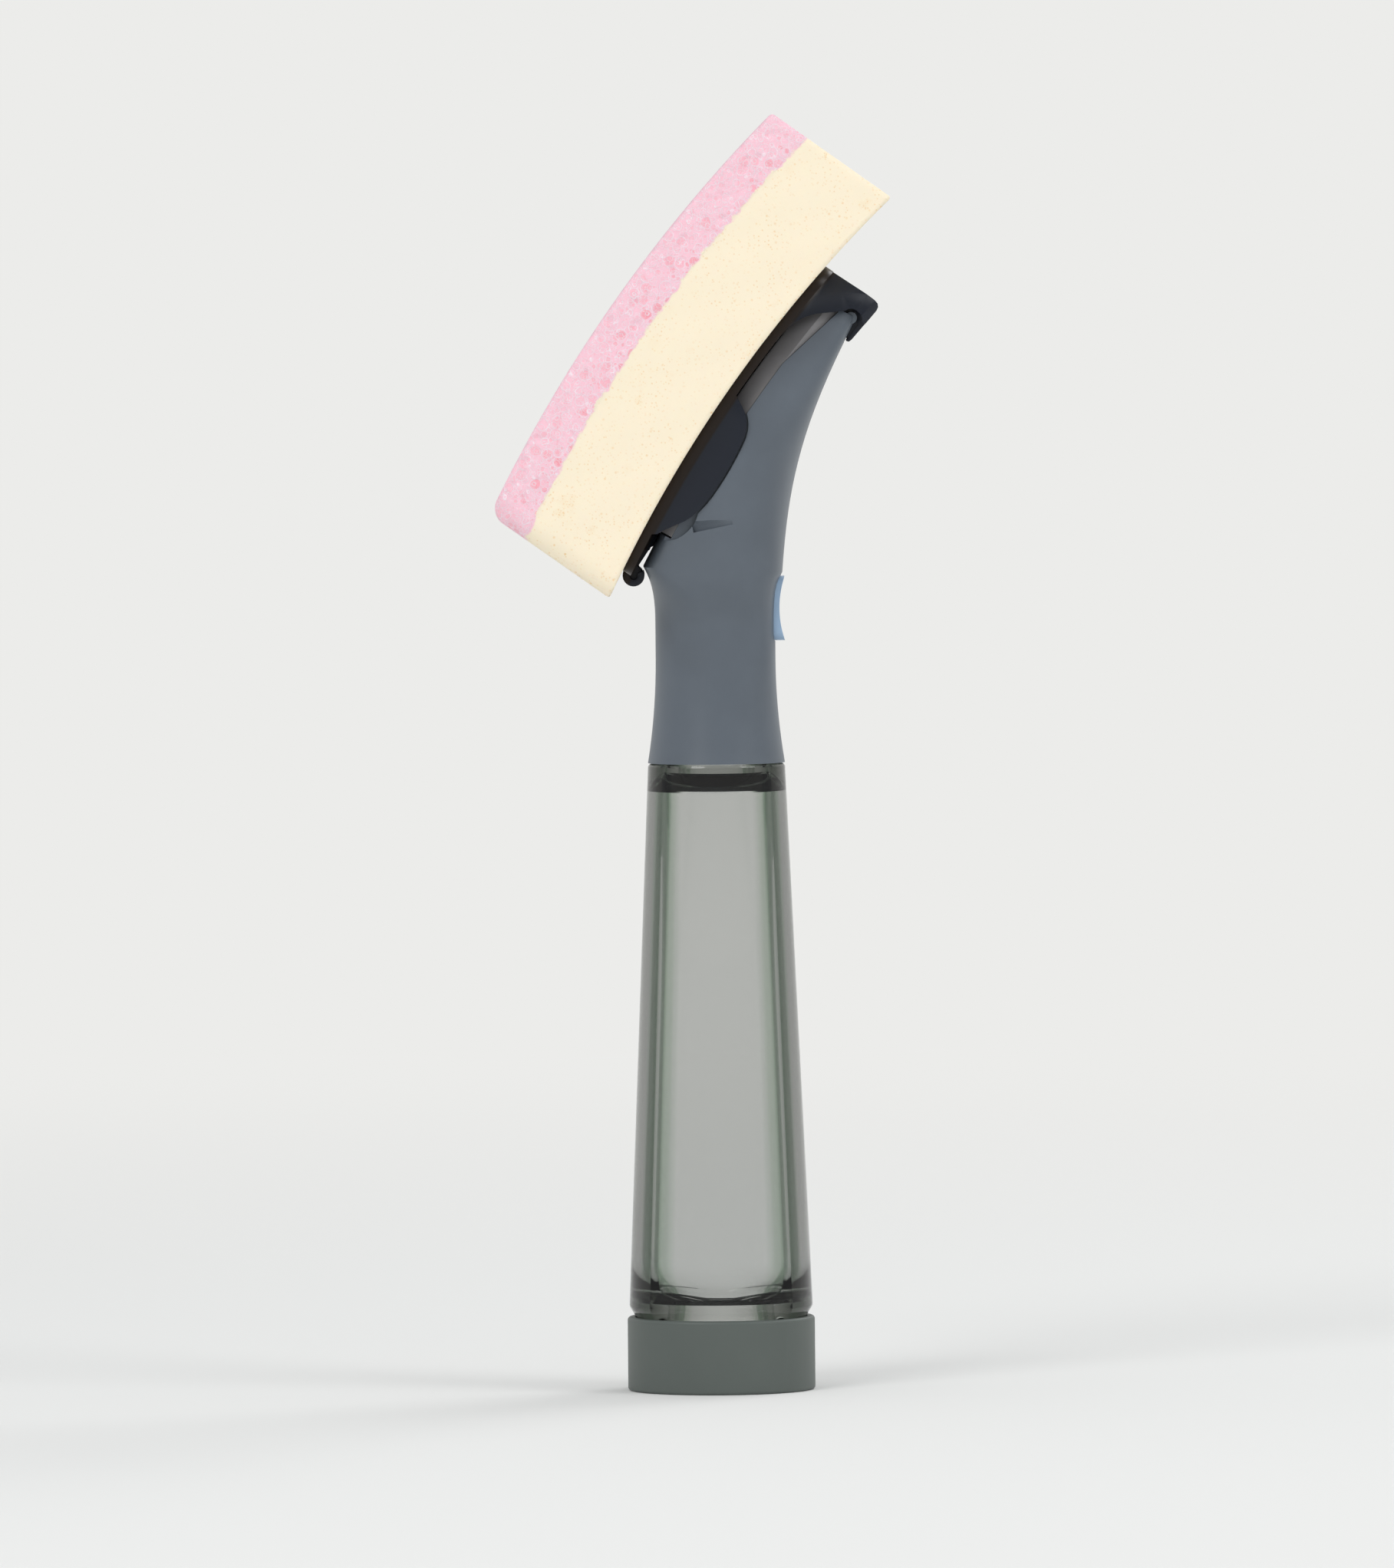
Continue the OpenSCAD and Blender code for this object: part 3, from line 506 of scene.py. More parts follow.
def carrier_material(settings):
    """Glossy black plastic, with a painted reflection of the sponge: browner along the plate's edge beside
    it.
    """
    material, tree, shader = new_material("carrier_black_with_sponge_reflection")
    set_inputs(tree, shader, IOR=1.36)
    add_grain(tree, shader, 0.32, 0.08, 1800.0, 0.08)
    # Painted reflection of the sponge: the colour turns brown past these radii
    share = map_range(tree, bend_radius(tree), REFLECTION_R1, REFLECTION_R2)
    stops = [(0.0, settings.black), (1.0, settings.sponge_reflection_brown)]
    set_inputs(tree, shader, Base_Color=ramp(tree, share, stops))
    return material


def steel_material():
    """Bright drawn wire."""
    material, tree, shader = new_material("spring_steel")
    set_inputs(tree, shader, Base_Color=srgb(190, 192, 196), Metallic=1.0)
    add_grain(tree, shader, 0.28, 0.1, 3000.0, 0.05)
    return material


def smoke_material(settings):
    """Clear, smoky plastic, with painted shade: its round sides are painted darker, with a painted green
    line of shade along each crease.
    """
    material, tree, shader = new_material("smoky_clear_with_painted_shade")
    set_inputs(tree, shader, Transmission_Weight=1.0, IOR=1.4, Roughness=0.04)
    place_at = add(tree, "ShaderNodeSeparateXYZ", in_Vector=object_coordinates(tree))
    across = joined(tree, "ABSOLUTE", place_at.outputs["X"])
    deep = joined(tree, "ABSOLUTE", place_at.outputs["Y"])
    # From 0 at the middle of a round side to 1 at the middle of the front or back
    turn = joined(tree, "DIVIDE", joined(tree, "ARCTAN2", deep, across), math.pi / 2)
    # Painted shade: the base colour darkens over the round sides and along the creases
    stops = [
        (0.0, settings.painted_side_shade), (0.29, settings.painted_side_shade),
        (0.35, settings.painted_crease_shade), (0.42, settings.painted_crease_shade),
        (0.45, settings.painted_inner_shade), (0.5, settings.painted_inner_shade),
        (0.58, settings.smoke),
    ]
    set_inputs(tree, shader, Base_Color=ramp(tree, turn, stops))
    depth = add(
        tree, "ShaderNodeVolumeAbsorption",
        in_Color=settings.smoke_depth, in_Density=settings.smoke_density,
    )
    tree.links.new(depth.outputs["Volume"], tree.nodes["Material Output"].inputs["Volume"])
    return material


def layer_edge():
    """Group: 0 before a radius of the bend and 1 past it, along an uneven line, as where foams meet."""
    found = bpy.data.node_groups.get("layer_edge")
    if found:
        return found
    group, given, result = node_group(
        "layer_edge", "ShaderNodeTree",
        [("Vector", "Vector", None), ("Distance", "Float", 0.0), ("Waver", "Float", 1.0 * MM)],
        [("Past", "Float")],
    )
    waves = joined(group, "SUBTRACT", noise(group, given["Vector"], 300.0, 4.0, 0.6), 0.5)
    distance = joined(group, "ADD", given["Distance"], joined(group, "MULTIPLY", waves, given["Waver"]))
    past = map_range(group, distance, -LAYER_BLEND, LAYER_BLEND, kind="SMOOTHSTEP")
    set_inputs(group, result, Past=past)
    return group


def place_layer_edge(tree, vector, settings):
    """Places the layer edge group where the cream and pink foams meet, and gives its mask."""
    group = add(
        tree, "ShaderNodeGroup", node_tree=layer_edge(), in_Vector=vector, in_Waver=settings.waver,
        in_Distance=joined(tree, "SUBTRACT", bend_radius(tree), FOAM_R2),
    )
    return group.outputs["Past"]


def foam_cells():
    """Group: one size of round foam cells. Rim is 1 on their thin rims, Open is 1 inside open cells."""
    found = bpy.data.node_groups.get("foam_cells")
    if found:
        return found
    group, given, result = node_group(
        "foam_cells", "ShaderNodeTree",
        [
            ("Vector", "Vector", None),
            ("Size", "Float", 2 * MM),
            ("Rim", "Float", 0.06),
            ("Shut", "Float", 0.45),
        ],
        [("Rim", "Float"), ("Open", "Float")],
    )
    cell = add(
        group, "ShaderNodeTexVoronoi", feature="F1", in_Randomness=CELL_RANDOMNESS,
        in_Vector=given["Vector"], in_Scale=joined(group, "DIVIDE", 1.0, given["Size"]),
    )
    chance = add(group, "ShaderNodeSeparateColor", in_Color=cell.outputs["Color"])
    reach = map_range(group, chance.outputs["Green"], 0.0, 1.0, 0.34, 0.58)
    past = joined(group, "SUBTRACT", cell.outputs["Distance"], reach)
    beside = joined(group, "ABSOLUTE", past)
    rim = map_range(group, beside, 0.0, given["Rim"], 1.0, 0.0, "SMOOTHSTEP")
    inside = map_range(group, joined(group, "MULTIPLY", past, -1.0), 0.0, 0.16, kind="SMOOTHSTEP")
    shown = map_range(group, chance.outputs["Red"], given["Shut"], 1.0, kind="SMOOTHSTEP")
    set_inputs(group, result, Rim=rim, Open=joined(group, "MULTIPLY", inside, shown))
    return group


def bend_radius(tree):
    """The distance from the axis that the refill bends round."""
    away = joined_vectors(tree, "SUBTRACT", object_coordinates(tree), (BEND[0], 0.0, BEND[1]))
    flat = joined_vectors(tree, "MULTIPLY", away, (1.0, 0.0, 1.0))
    radius = add(tree, "ShaderNodeVectorMath", operation="LENGTH")
    tree.links.new(flat, radius.inputs[0])
    return radius.outputs["Value"]


def scourer_colour(tree, vector, settings):
    """The scourer's colour, with the mask of its cells' rims."""
    warp = add(tree, "ShaderNodeTexNoise", in_Vector=vector, in_Scale=420.0, in_Detail=2.0)
    shift = add(tree, "ShaderNodeVectorMath", operation="SCALE", in_Scale=0.9 * MM)
    tree.links.new(warp.outputs["Color"], shift.inputs[0])
    moved = joined_vectors(tree, "ADD", vector, shift.outputs[0])
    inner = map_range(tree, bend_radius(tree), SCOURER_R2, FOAM_R2, 0.15, 1.0)
    rims = None
    depth = None
    for share, rim_width, shut, rim_weight, open_weight in FOAM_CELL_SIZES:
        cells = add(
            tree, "ShaderNodeGroup", node_tree=foam_cells(), in_Vector=moved,
            in_Size=settings.cell_size * share, in_Rim=rim_width, in_Shut=shut,
        )
        rim = joined(tree, "MULTIPLY", cells.outputs["Rim"], rim_weight)
        opened = joined(tree, "MULTIPLY", cells.outputs["Open"], open_weight)
        rims = rim if rims is None else joined(tree, "MAXIMUM", rims, rim)
        depth = opened if depth is None else joined(tree, "MAXIMUM", depth, opened)
    deep = joined(tree, "MULTIPLY", depth, inner)
    base = mixed_colours(tree, deep, settings.pale_pink, settings.cell_pink)
    return mixed_colours(tree, rims, base, settings.web_pink), rims


def foam_shader(tree, shader, radius):
    """Soft light inside a foam, with the light's reach in each colour."""
    set_inputs(
        tree, shader, Roughness=0.85, Subsurface_Weight=0.15,
        Subsurface_Radius=radius, Subsurface_Scale=1.2 * MM,
    )


def scourer_material(settings):
    """Pink foam: pale, with thin light rims, and deeper pink in the cells that are open."""
    material, tree, shader = new_material("scourer_pink")
    foam_shader(tree, shader, (1.0, 0.5, 0.5))
    vector = object_coordinates(tree)
    pink, rims = scourer_colour(tree, vector, settings)
    past = place_layer_edge(tree, vector, settings)
    set_inputs(tree, shader, Base_Color=mixed_colours(tree, past, settings.cream, pink))
    add_bump(tree, shader, rims, 0.5, 0.15 * MM)
    return material


def pores(tree, vector, spacing, reach, keep):
    """Mask of round pores at a spacing, as wide as a share of it, where a share of them is kept."""
    speck = add(tree, "ShaderNodeTexVoronoi", feature="F1", in_Vector=vector, in_Scale=1 / spacing)
    dot = ramp(tree, speck.outputs["Distance"], [(reach * 0.5, 1.0), (reach, 0.0)])
    chance = add(tree, "ShaderNodeSeparateColor", in_Color=speck.outputs["Color"])
    chosen = ramp(tree, chance.outputs["Green"], [(1 - keep, 0.0), (1 - keep * 0.6, 0.7), (1.0, 1.0)])
    return joined(tree, "MULTIPLY", dot, chosen)


def sponge_material(settings):
    """Cream sponge: clouds of fine pores, with a few larger faint ones."""
    material, tree, shader = new_material("sponge_cream")
    foam_shader(tree, shader, (1.0, 0.7, 0.4))
    vector = object_coordinates(tree)
    cloud = noise(tree, vector, 150.0, 4.0, 0.7)
    patch = ramp(tree, cloud, [(0.35, 0.25), (0.7, 1.0)])
    dense = ramp(tree, cloud, [(0.6, 0.0), (0.72, 1.0)])
    dots = None
    # Spacing, width as a share of it, share kept, and strength
    for spacing, reach, keep, strength in (
        (0.75 * MM, 0.3, 0.7, patch), (0.4 * MM, 0.42, 0.8, dense), (1.7 * MM, 0.2, 0.5, 0.9),
    ):
        size = joined(tree, "MULTIPLY", pores(tree, vector, spacing, reach, keep), strength)
        dots = size if dots is None else joined(tree, "MAXIMUM", dots, size)
    large = joined(tree, "MULTIPLY", pores(tree, vector, 9.0 * MM, 0.24, 0.5), 0.3)
    haze = joined(tree, "MULTIPLY", dense, 0.16)
    mask = joined(tree, "MAXIMUM", joined(tree, "MAXIMUM", dots, large), haze)
    base = mixed_colours(tree, mask, settings.cream, settings.pore_cream)
    past = place_layer_edge(tree, vector, settings)
    set_inputs(tree, shader, Base_Color=mixed_colours(tree, past, base, settings.pale_pink))
    height = joined(tree, "SUBTRACT", noise(tree, vector, 2400.0, 2.0), dots)
    add_bump(tree, shader, height, 0.3, 0.1 * MM)
    return material


# Node trees for what repeats

def geometry_tree(name, inputs):
    """A geometry node tree with a Geometry input and output, a Material and named numbers."""
    return node_group(
        name, "GeometryNodeTree",
        [("Geometry", "Geometry", None), *inputs, ("Material", "Material", None)],
        [("Geometry", "Geometry")],
    )


def finish_tree(tree, given, result, geometry):
    """Ends a tree in Realize Instances and Set Material."""
    real = add(tree, "GeometryNodeRealizeInstances", in_Geometry=geometry)
    painted = add(
        tree, "GeometryNodeSetMaterial",
        in_Geometry=real.outputs["Geometry"], in_Material=given["Material"],
    )
    set_inputs(tree, result, Geometry=painted.outputs["Geometry"])
    return tree


def run_tree(obj, tree, **values):
    """Runs a geometry node tree on an object with named inputs, and keeps the plain mesh."""
    modifier = obj.modifiers.new(tree.name, "NODES")
    modifier.node_group = tree
    sockets = {s.name: s.identifier for s in tree.interface.items_tree if s.in_out == "INPUT"}
    for label, value in values.items():
        modifier[sockets[label.replace("_", " ")]] = value
    return apply_modifiers(obj)


def pitted_tree():
    """Tree: sinks the cells of an open foam into a surface in two sizes, less beside the glue line."""
    tree, given, result = geometry_tree(
        "pitted_surface", [("Cell size", "Float", 2 * MM), ("Depth", "Float", 0.5 * MM)]
    )
    position = add(tree, "GeometryNodeInputPosition").outputs[0]
    depths = []
    for share, weight in ((1.0, 1.0), (0.5, 0.5)):
        size = joined(tree, "MULTIPLY", given["Cell size"], share)
        cell = add(
            tree, "ShaderNodeTexVoronoi", feature="F1", in_Randomness=CELL_RANDOMNESS,
            in_Vector=position, in_Scale=joined(tree, "DIVIDE", 1.0, size),
        )
        sink = map_range(tree, cell.outputs["Distance"], 0.55, 0.2, 0.0, -weight, "SMOOTHSTEP")
        chance = add(tree, "ShaderNodeSeparateXYZ", in_Vector=cell.outputs["Color"])
        opened = map_range(tree, chance.outputs["X"], 0.3, 1.0, 0.15, 1.0)
        depths.append(joined(tree, "MULTIPLY", sink, opened))
    free = add(tree, "GeometryNodeInputNamedAttribute", data_type="FLOAT", in_Name=FREE)
    faded = joined(tree, "MULTIPLY", given["Depth"], free.outputs["Attribute"])
    deep = joined(tree, "MULTIPLY", joined(tree, "ADD", *depths), faded)
    offset = add(tree, "ShaderNodeVectorMath", operation="SCALE", in_Scale=deep)
    tree.links.new(add(tree, "GeometryNodeInputNormal").outputs[0], offset.inputs[0])
    moved = add(
        tree, "GeometryNodeSetPosition", in_Geometry=given["Geometry"], in_Offset=offset.outputs[0]
    )
    return finish_tree(tree, given, result, moved.outputs["Geometry"])


def winding_tree():
    """Tree: a wire wound round the Z axis, for the return spring."""
    tree, given, result = geometry_tree(
        "wound_wire",
        [
            ("Turns", "Float", 4.0),
            ("Radius", "Float", 3 * MM),
            ("Height", "Float", 5 * MM),
            ("Wire", "Float", 0.25 * MM),
        ],
    )
    spiral = add(
        tree, "GeometryNodeCurveSpiral", in_Resolution=32, in_Rotations=given["Turns"],
        in_Start_Radius=given["Radius"], in_End_Radius=given["Radius"], in_Height=given["Height"],
    )
    profile = add(
        tree, "GeometryNodeCurvePrimitiveCircle", in_Resolution=12, in_Radius=given["Wire"]
    )
    swept = add(
        tree, "GeometryNodeCurveToMesh", in_Curve=spiral.outputs["Curve"],
        in_Profile_Curve=profile.outputs["Curve"], in_Fill_Caps=True,
    )
    smooth = add(tree, "GeometryNodeSetShadeSmooth", in_Geometry=swept.outputs["Mesh"])
    return finish_tree(tree, given, result, smooth.outputs["Geometry"])


# Sponge

def box_grid(sizes, step):
    """Points and quads of a box's surface, as a grid shared along its edges."""
    counts = [max(2, round(size / step)) for size in sizes]
    axes = [np.linspace(-size / 2, size / 2, count + 1) for size, count in zip(sizes, counts)]
    index = {}
    points = []
    faces = []

    def point(i, j, k):
        key = (i, j, k)
        if key not in index:
            index[key] = len(points)
            points.append((axes[0][i], axes[1][j], axes[2][k]))
        return index[key]

    for fixed in range(3):
        a, b = [axis for axis in range(3) if axis != fixed]
        for end in (0, counts[fixed]):
            for i in range(counts[a]):
                for j in range(counts[b]):
                    corners = []
                    for da, db in ((0, 0), (1, 0), (1, 1), (0, 1)):
                        key = [0, 0, 0]
                        key[fixed] = end
                        key[a] = i + da
                        key[b] = j + db
                        corners.append(point(*key))
                    outward = (end > 0) == (fixed != 1)
                    faces.append(corners if outward else corners[::-1])
    return np.array(points), faces


def soften(points, sizes, settings, free_side, corner):
    """Rounds a box's edges, its low end most, but leaves its side by the other layer square."""
    half = np.array(sizes) / 2
    flat = points[:, :2] * (1, free_side)
    radius = np.where(flat[:, :1] < 0, corner, settings.edge_round)
    inner = np.clip(flat, -half[:2] + radius * (1, -1), half[:2] - radius)
    away = flat - inner
    distance = np.linalg.norm(away, axis=1, keepdims=True)
    longest = np.abs(away).max(axis=1, keepdims=True)
    share = np.divide(longest, distance, out=np.zeros_like(distance), where=distance > 0)
    flat = inner + away * share

    def drop(size):
        past = np.maximum(0, np.abs(points[:, 2]) - (half[2] - size))
        return size - np.sqrt(np.maximum(0, size * size - past * past))

    end = np.where(flat[:, 0] < 0, settings.low_end, settings.edge_round)
    flat[:, 0] *= 1 - drop(end) / half[0]
    outer = flat[:, 1] > 0
    flat[outer, 1] *= 1 - drop(settings.edge_round)[outer] / half[1]
    return np.column_stack([flat * (1, free_side), points[:, 2]])


def bend(points, r1, r2):
    """Lays a box, long in X and thick in Y, round the bend, as thick as from one radius to another."""
    radius = (r1 + r2) / 2 + points[:, 1]
    angle = SPONGE_MID - points[:, 0] / radius
    x = BEND[0] + radius * np.cos(angle)
    z = BEND[1] + radius * np.sin(angle)
    return np.stack([x, -points[:, 2], z], axis=1)


def foam_layer(name, r1, r2, free_side, corner, settings, material):
    """One curved layer of the sponge as a fine closed grid."""
    sizes = (SPONGE_L, r2 - r1, SPONGE_W)
    points, faces = box_grid(sizes, settings.grid)
    above_glue = points[:, 1] * free_side + sizes[1] / 2
    points = soften(points, sizes, settings, free_side, corner)
    wave = SIDE_WAVE * (np.sin(points[:, 0] * 310 + 1.3) * np.sin(points[:, 1] * 420 + 0.4) - 1)
    points[:, 2] += wave * np.sign(points[:, 2]) * (np.abs(points[:, 2]) > SPONGE_W * 0.45)
    mesh = mesh_from(name, bend(points, r1, r2), faces, 60.0)
    share = np.clip(above_glue / settings.glue_fade, 0, 1).astype(np.float32)
    mesh.attributes.new(FREE, "FLOAT", "POINT").data.foreach_set("value", share)
    return new_object(name, mesh, material)


class WAND_OT_sponge(bpy.types.Operator):
    """Build the cream sponge and the pink scourer"""

    bl_idname = "wand.sponge"
    bl_label = "Sponge and scourer"

    def execute(self, context):
        settings = context.scene.wand_refill
        pink = scourer_material(settings)
        cream = sponge_material(settings)
        tree = pitted_tree()
        scourer = foam_layer("scourer", FOAM_R2, SCOURER_R2, 1, settings.corner, settings, pink)
        run_tree(scourer, tree, Cell_size=settings.cell_size, Depth=settings.cell_depth, Material=pink)
        place(scourer, "refill", "scourer_pad", "scourer_pad")
        sponge = foam_layer("sponge", FOAM_R1, FOAM_R2, -1, settings.edge_round, settings, cream)
        place(sponge, "refill", "foam_block", "foam_block")
        return {"FINISHED"}


class WAND_OT_carrier(bpy.types.Operator):
    """Dress the refill's plastic back with its hood, cheeks and latch"""

    bl_idname = "wand.carrier"
    bl_label = "Refill back"

    def execute(self, context):
        settings = context.scene.wand_refill
        material = carrier_material(settings)
        carrier = moulded_copy("refill_carrier", "carrier", material, context.scene.wand_handle.edge)
        place(carrier, "refill", "refill_carrier", "refill_carrier")
        # Painted shade: the latch web closes the hook's gap with dark plastic, standing in for the shade
        # seen through it
        latch = [face_point(s, r) for s, r in LATCH_WEB]
        web = extruded("latch_web", latch, LATCH_WEB_W, material, 0.25 * MM)
        place(web, "refill", "refill_carrier")
        # Painted shade: the nose web fills the gap round the nose with dark plastic, in place of its shade
        nose = extruded("nose_web", nose_web_outline(), NOSE_WEB_W, material, 0.1 * MM)
        place(nose, "refill", "refill_carrier")
        return {"FINISHED"}


# Head, button and cap

class WAND_OT_head(bpy.types.Operator):
    """Dress the head, its face plate and the thumb button"""

    bl_idname = "wand.head"
    bl_label = "Head and button"

    def execute(self, context):
        settings = context.scene.wand_handle
        slate = moulding("head_slate", tuple(settings.slate), roughness=0.42)
        # The face plate's colour is partly painted light, lighter than its own grey to make up for its
        # shade
        plate_grey_with_painted_light = moulding("plate_grey_with_painted_light", tuple(settings.plate), roughness=0.5)
        pale_blue = moulding("button_blue", tuple(settings.blue), roughness=0.4)
        head = moulded_copy("head_shell", "head", slate, 0.0)
        place(head, "handle", "head_shell", "head_shell")
        plate = moulded_copy("face_plate", "plate", plate_grey_with_painted_light, settings.edge)
        place(plate, "handle", "face_plate", "face_plate")
        button = moulded_copy("thumb_button", "button_cap", pale_blue, settings.edge)
        place(button, "button", "thumb_button", "thumb_button")
        return {"FINISHED"}


class WAND_OT_cap(bpy.types.Operator):
    """Dress the base cap"""

    bl_idname = "wand.cap"
    bl_label = "Base cap"

    def execute(self, context):
        settings = context.scene.wand_handle
        grey = moulding("cap_grey", tuple(settings.cap), roughness=0.5, mottle=0.03)
        cap = moulded_copy("base_cap", "cap_shell", grey, 0.0)
        place(cap, "cap", "base_cap", "base_cap")
        return {"FINISHED"}


# Bottle

def section(angle, radius, flat):
    """Distance from the axis to the handle's outline: round sides, flatter front and back."""
    ux = abs(math.cos(angle))
    uy = abs(math.sin(angle))
    if uy * math.cos(CREASE) < ux * math.sin(CREASE):
        return radius
    ex = radius * math.cos(CREASE)
    ey = radius * math.sin(CREASE)
    depth = flat * radius
    arc = (ex * ex + (depth - ey) ** 2) / (2 * (depth - ey))
    centre = depth - arc
    along = uy * centre
    return along + math.sqrt(along * along - centre * centre + arc * arc)


def closed_loft(rings):
    """Points and quads of rings joined in order, the last back to the first."""
    count = len(rings[0])
    points = [p for ring in rings for p in ring]
    faces = []
    for i in range(len(rings)):
        base = i * count
        top = ((i + 1) % len(rings)) * count
        for k in range(count):
            n = (k + 1) % count
            faces.append((base + k, base + n, top + n, top + k))
    return points, faces


def thread_lift(z, angle, low, high):
    """How far a moulded thread stands out at a height and angle, with its ends run out."""
    turn = z / THREAD_LEAD - angle / (2 * math.pi)
    wave = max(0.0, math.cos(2 * math.pi * turn)) ** 1.5
    fade = min(1.0, max(0.0, (z - low) / THREAD_LEAD), max(0.0, (high - z) / THREAD_LEAD))
    return THREAD_DEPTH * wave * fade


def handle_flat(z):
    """Flatness of the handle's front and back at a height."""
    share = max(0.0, (z - CAP_H - 0.55 * HANDLE_H) / (0.45 * HANDLE_H))
    return FLATNESS + (JOINT_FLATNESS - FLATNESS) * share ** 2


def handle_radius(z):
    """Half width of the handle at a height."""
    return FOOT_R + (JOINT_R - FOOT_R) * (z - SHOULDER_Z) / (JOINT_Z - SHOULDER_Z)


def bottle_rings():
    """Rings of the bottle's wall: up the outside, over the spigot, and down the inside."""

    def round_rings(*pairs):
        return [("round", z, radius) for z, radius in pairs]

    foot_top = CAP_H - 1.3 * MM
    rings = round_rings(
        (FOOT_END, MOUTH_R + 0.3 * MM), (FOOT_END, THREAD_R - 0.4 * MM),
        (FOOT_END + 0.12 * MM, THREAD_R - 0.12 * MM),
    )
    rings += [("thread", z, THREAD_R) for z in np.linspace(FOOT_END + 0.4 * MM, foot_top, 36)]
    rings += [
        ("flat", CAP_H - 1.2 * MM, 17.08 * MM, 0.93),
        ("flat", CAP_H, 17.98 * MM, 0.888),
        ("flat", SHOULDER_Z - 0.3 * MM, 19.1 * MM, 0.864),
        ("flat", SHOULDER_Z + 0.02 * MM, 19.24 * MM, FLATNESS),
    ]
    for z in np.linspace(SHOULDER_Z + 0.4 * MM, JOINT_Z - 0.75 * MM, 40):
        rings.append(("flat", z, handle_radius(z), handle_flat(z)))
    rings += round_rings(
        (JOINT_Z - 0.35 * MM, JOINT_R - 0.2 * MM), (JOINT_Z - 0.12 * MM, JOINT_R - 0.6 * MM),
        (JOINT_Z - 0.1 * MM, SPIGOT_R + 0.3 * MM), (JOINT_Z + 0.2 * MM, SPIGOT_R),
    )
    snap = ((-1.5, 0.0), (-0.5, 0.6), (0.5, 0.6), (1.5, 0.0))
    rings += round_rings(*((SNAP_Z + dz * MM, SPIGOT_R + dr * MM) for dz, dr in snap))
    top = JOINT_Z - 6.0 * MM
    rings += round_rings(
        (SPIGOT_TOP - 0.3 * MM, SPIGOT_R), (SPIGOT_TOP, SPIGOT_R - 0.3 * MM),
        (SPIGOT_TOP, SPIGOT_BORE_R + 0.3 * MM), (SPIGOT_TOP - 0.3 * MM, SPIGOT_BORE_R),
        (JOINT_Z - 2.0 * MM, SPIGOT_BORE_R), (JOINT_Z - 2.4 * MM, SPIGOT_BORE_R + 0.2 * MM),
        (top + 1.1 * MM, 11.1 * MM), (top + 0.3 * MM, 11.95 * MM),
    )
    low = SHOULDER_Z + 9.0 * MM
    for z in np.linspace(top, low, 36):
        rings.append(("flat", z, handle_radius(z) - BOTTLE_WALL, handle_flat(z) - 0.02))
    side = handle_radius(low) - BOTTLE_WALL
    for share in np.linspace(0.0, 1.0, 10)[1:]:
        z = low - 7.5 * MM * math.sin(share * math.pi / 2)
        shape = 1 - math.cos(share * math.pi / 2)
        radius = side + (MOUTH_R + 0.3 * MM - side) * shape
        rings.append(("flat", z, radius, 0.84 + 0.159 * shape))
    rings += round_rings((low - 8.2 * MM, MOUTH_R), (FOOT_END + 0.3 * MM, MOUTH_R))
    return rings


class WAND_OT_bottle(bpy.types.Operator):
    """Build the clear handle with its cavity, spigot and threaded foot"""

    bl_idname = "wand.bottle"
    bl_label = "Bottle"

    def execute(self, context):
        settings = context.scene.wand_handle
        side = np.linspace(-CREASE, CREASE, settings.ring_points // 6, endpoint=False)
        face = np.linspace(CREASE, math.pi - CREASE, settings.ring_points // 3, endpoint=False)
        angles = np.concatenate([side, face, side + math.pi, face + math.pi])
        rings = []
        for kind, z, radius, *flat in bottle_rings():
            if kind == "flat":
                reach = [section(angle, radius, flat[0]) for angle in angles]
            elif kind == "thread":
                lift = [thread_lift(z, angle, FOOT_END, CAP_H - 1.2 * MM) for angle in angles]
                reach = [radius + extra for extra in lift]
            else:
                reach = [radius] * len(angles)
            rings.append([(r * math.cos(a), r * math.sin(a), z) for r, a in zip(reach, angles)])
        points, faces = closed_loft(rings)
        mesh = mesh_from("bottle_shell", points, faces, 13.0)
        bottle = new_object("bottle_shell", mesh, smoke_material(settings))
        place(bottle, "handle", "bottle", "bottle")
        return {"FINISHED"}


class WAND_OT_valve(bpy.types.Operator):
    """Give the valve and the seals inside the neck their finishes"""

    bl_idname = "wand.valve"
    bl_label = "Valve"

    def execute(self, context):
        white = moulding("valve_white", srgb(228, 229, 226), roughness=0.35, mottle=0.02)
        rubber = moulding("seal_rubber", srgb(34, 34, 36), roughness=0.7, scale=1500.0, strength=0.3)
        steel = steel_material()
        for material, nodes in ((white, VALVE_NODES), (rubber, SEAL_NODES)):
            for node in nodes:
                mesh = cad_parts[node].data
                mesh.materials.clear()
                mesh.materials.append(material)
        coil = new_object("coil_spring", bpy.data.meshes.new("coil_spring"), steel)
        run_tree(
            coil, winding_tree(), Turns=SPRING_TURNS, Radius=SPRING_R,
            Height=SPRING_X2 - SPRING_X1 - 2 * SPRING_WIRE, Wire=SPRING_WIRE, Material=steel,
        )
        start = Matrix.Translation((SPRING_X1 + SPRING_WIRE, 0.0, BUTTON_Z))
        coil.data.transform(start @ Matrix.Rotation(math.pi / 2, 4, "Y"))
        place(coil, "handle", "return_spring", "return_spring")
        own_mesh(coil)
        return {"FINISHED"}


# Stage

def area_lamp(name, place_at, target, size, power):
    """A soft lamp at a point, turned to another."""
    data = bpy.data.lights.new(name, "AREA")
    data.shape = "DISK"
    data.size = size
    data.energy = power
    lamp = bpy.data.objects.new(name, data)
    bpy.context.scene.collection.objects.link(lamp)
    lamp.location = place_at
    lamp.rotation_euler = (Vector(target) - Vector(place_at)).to_track_quat("-Z", "Y").to_euler()
    return lamp


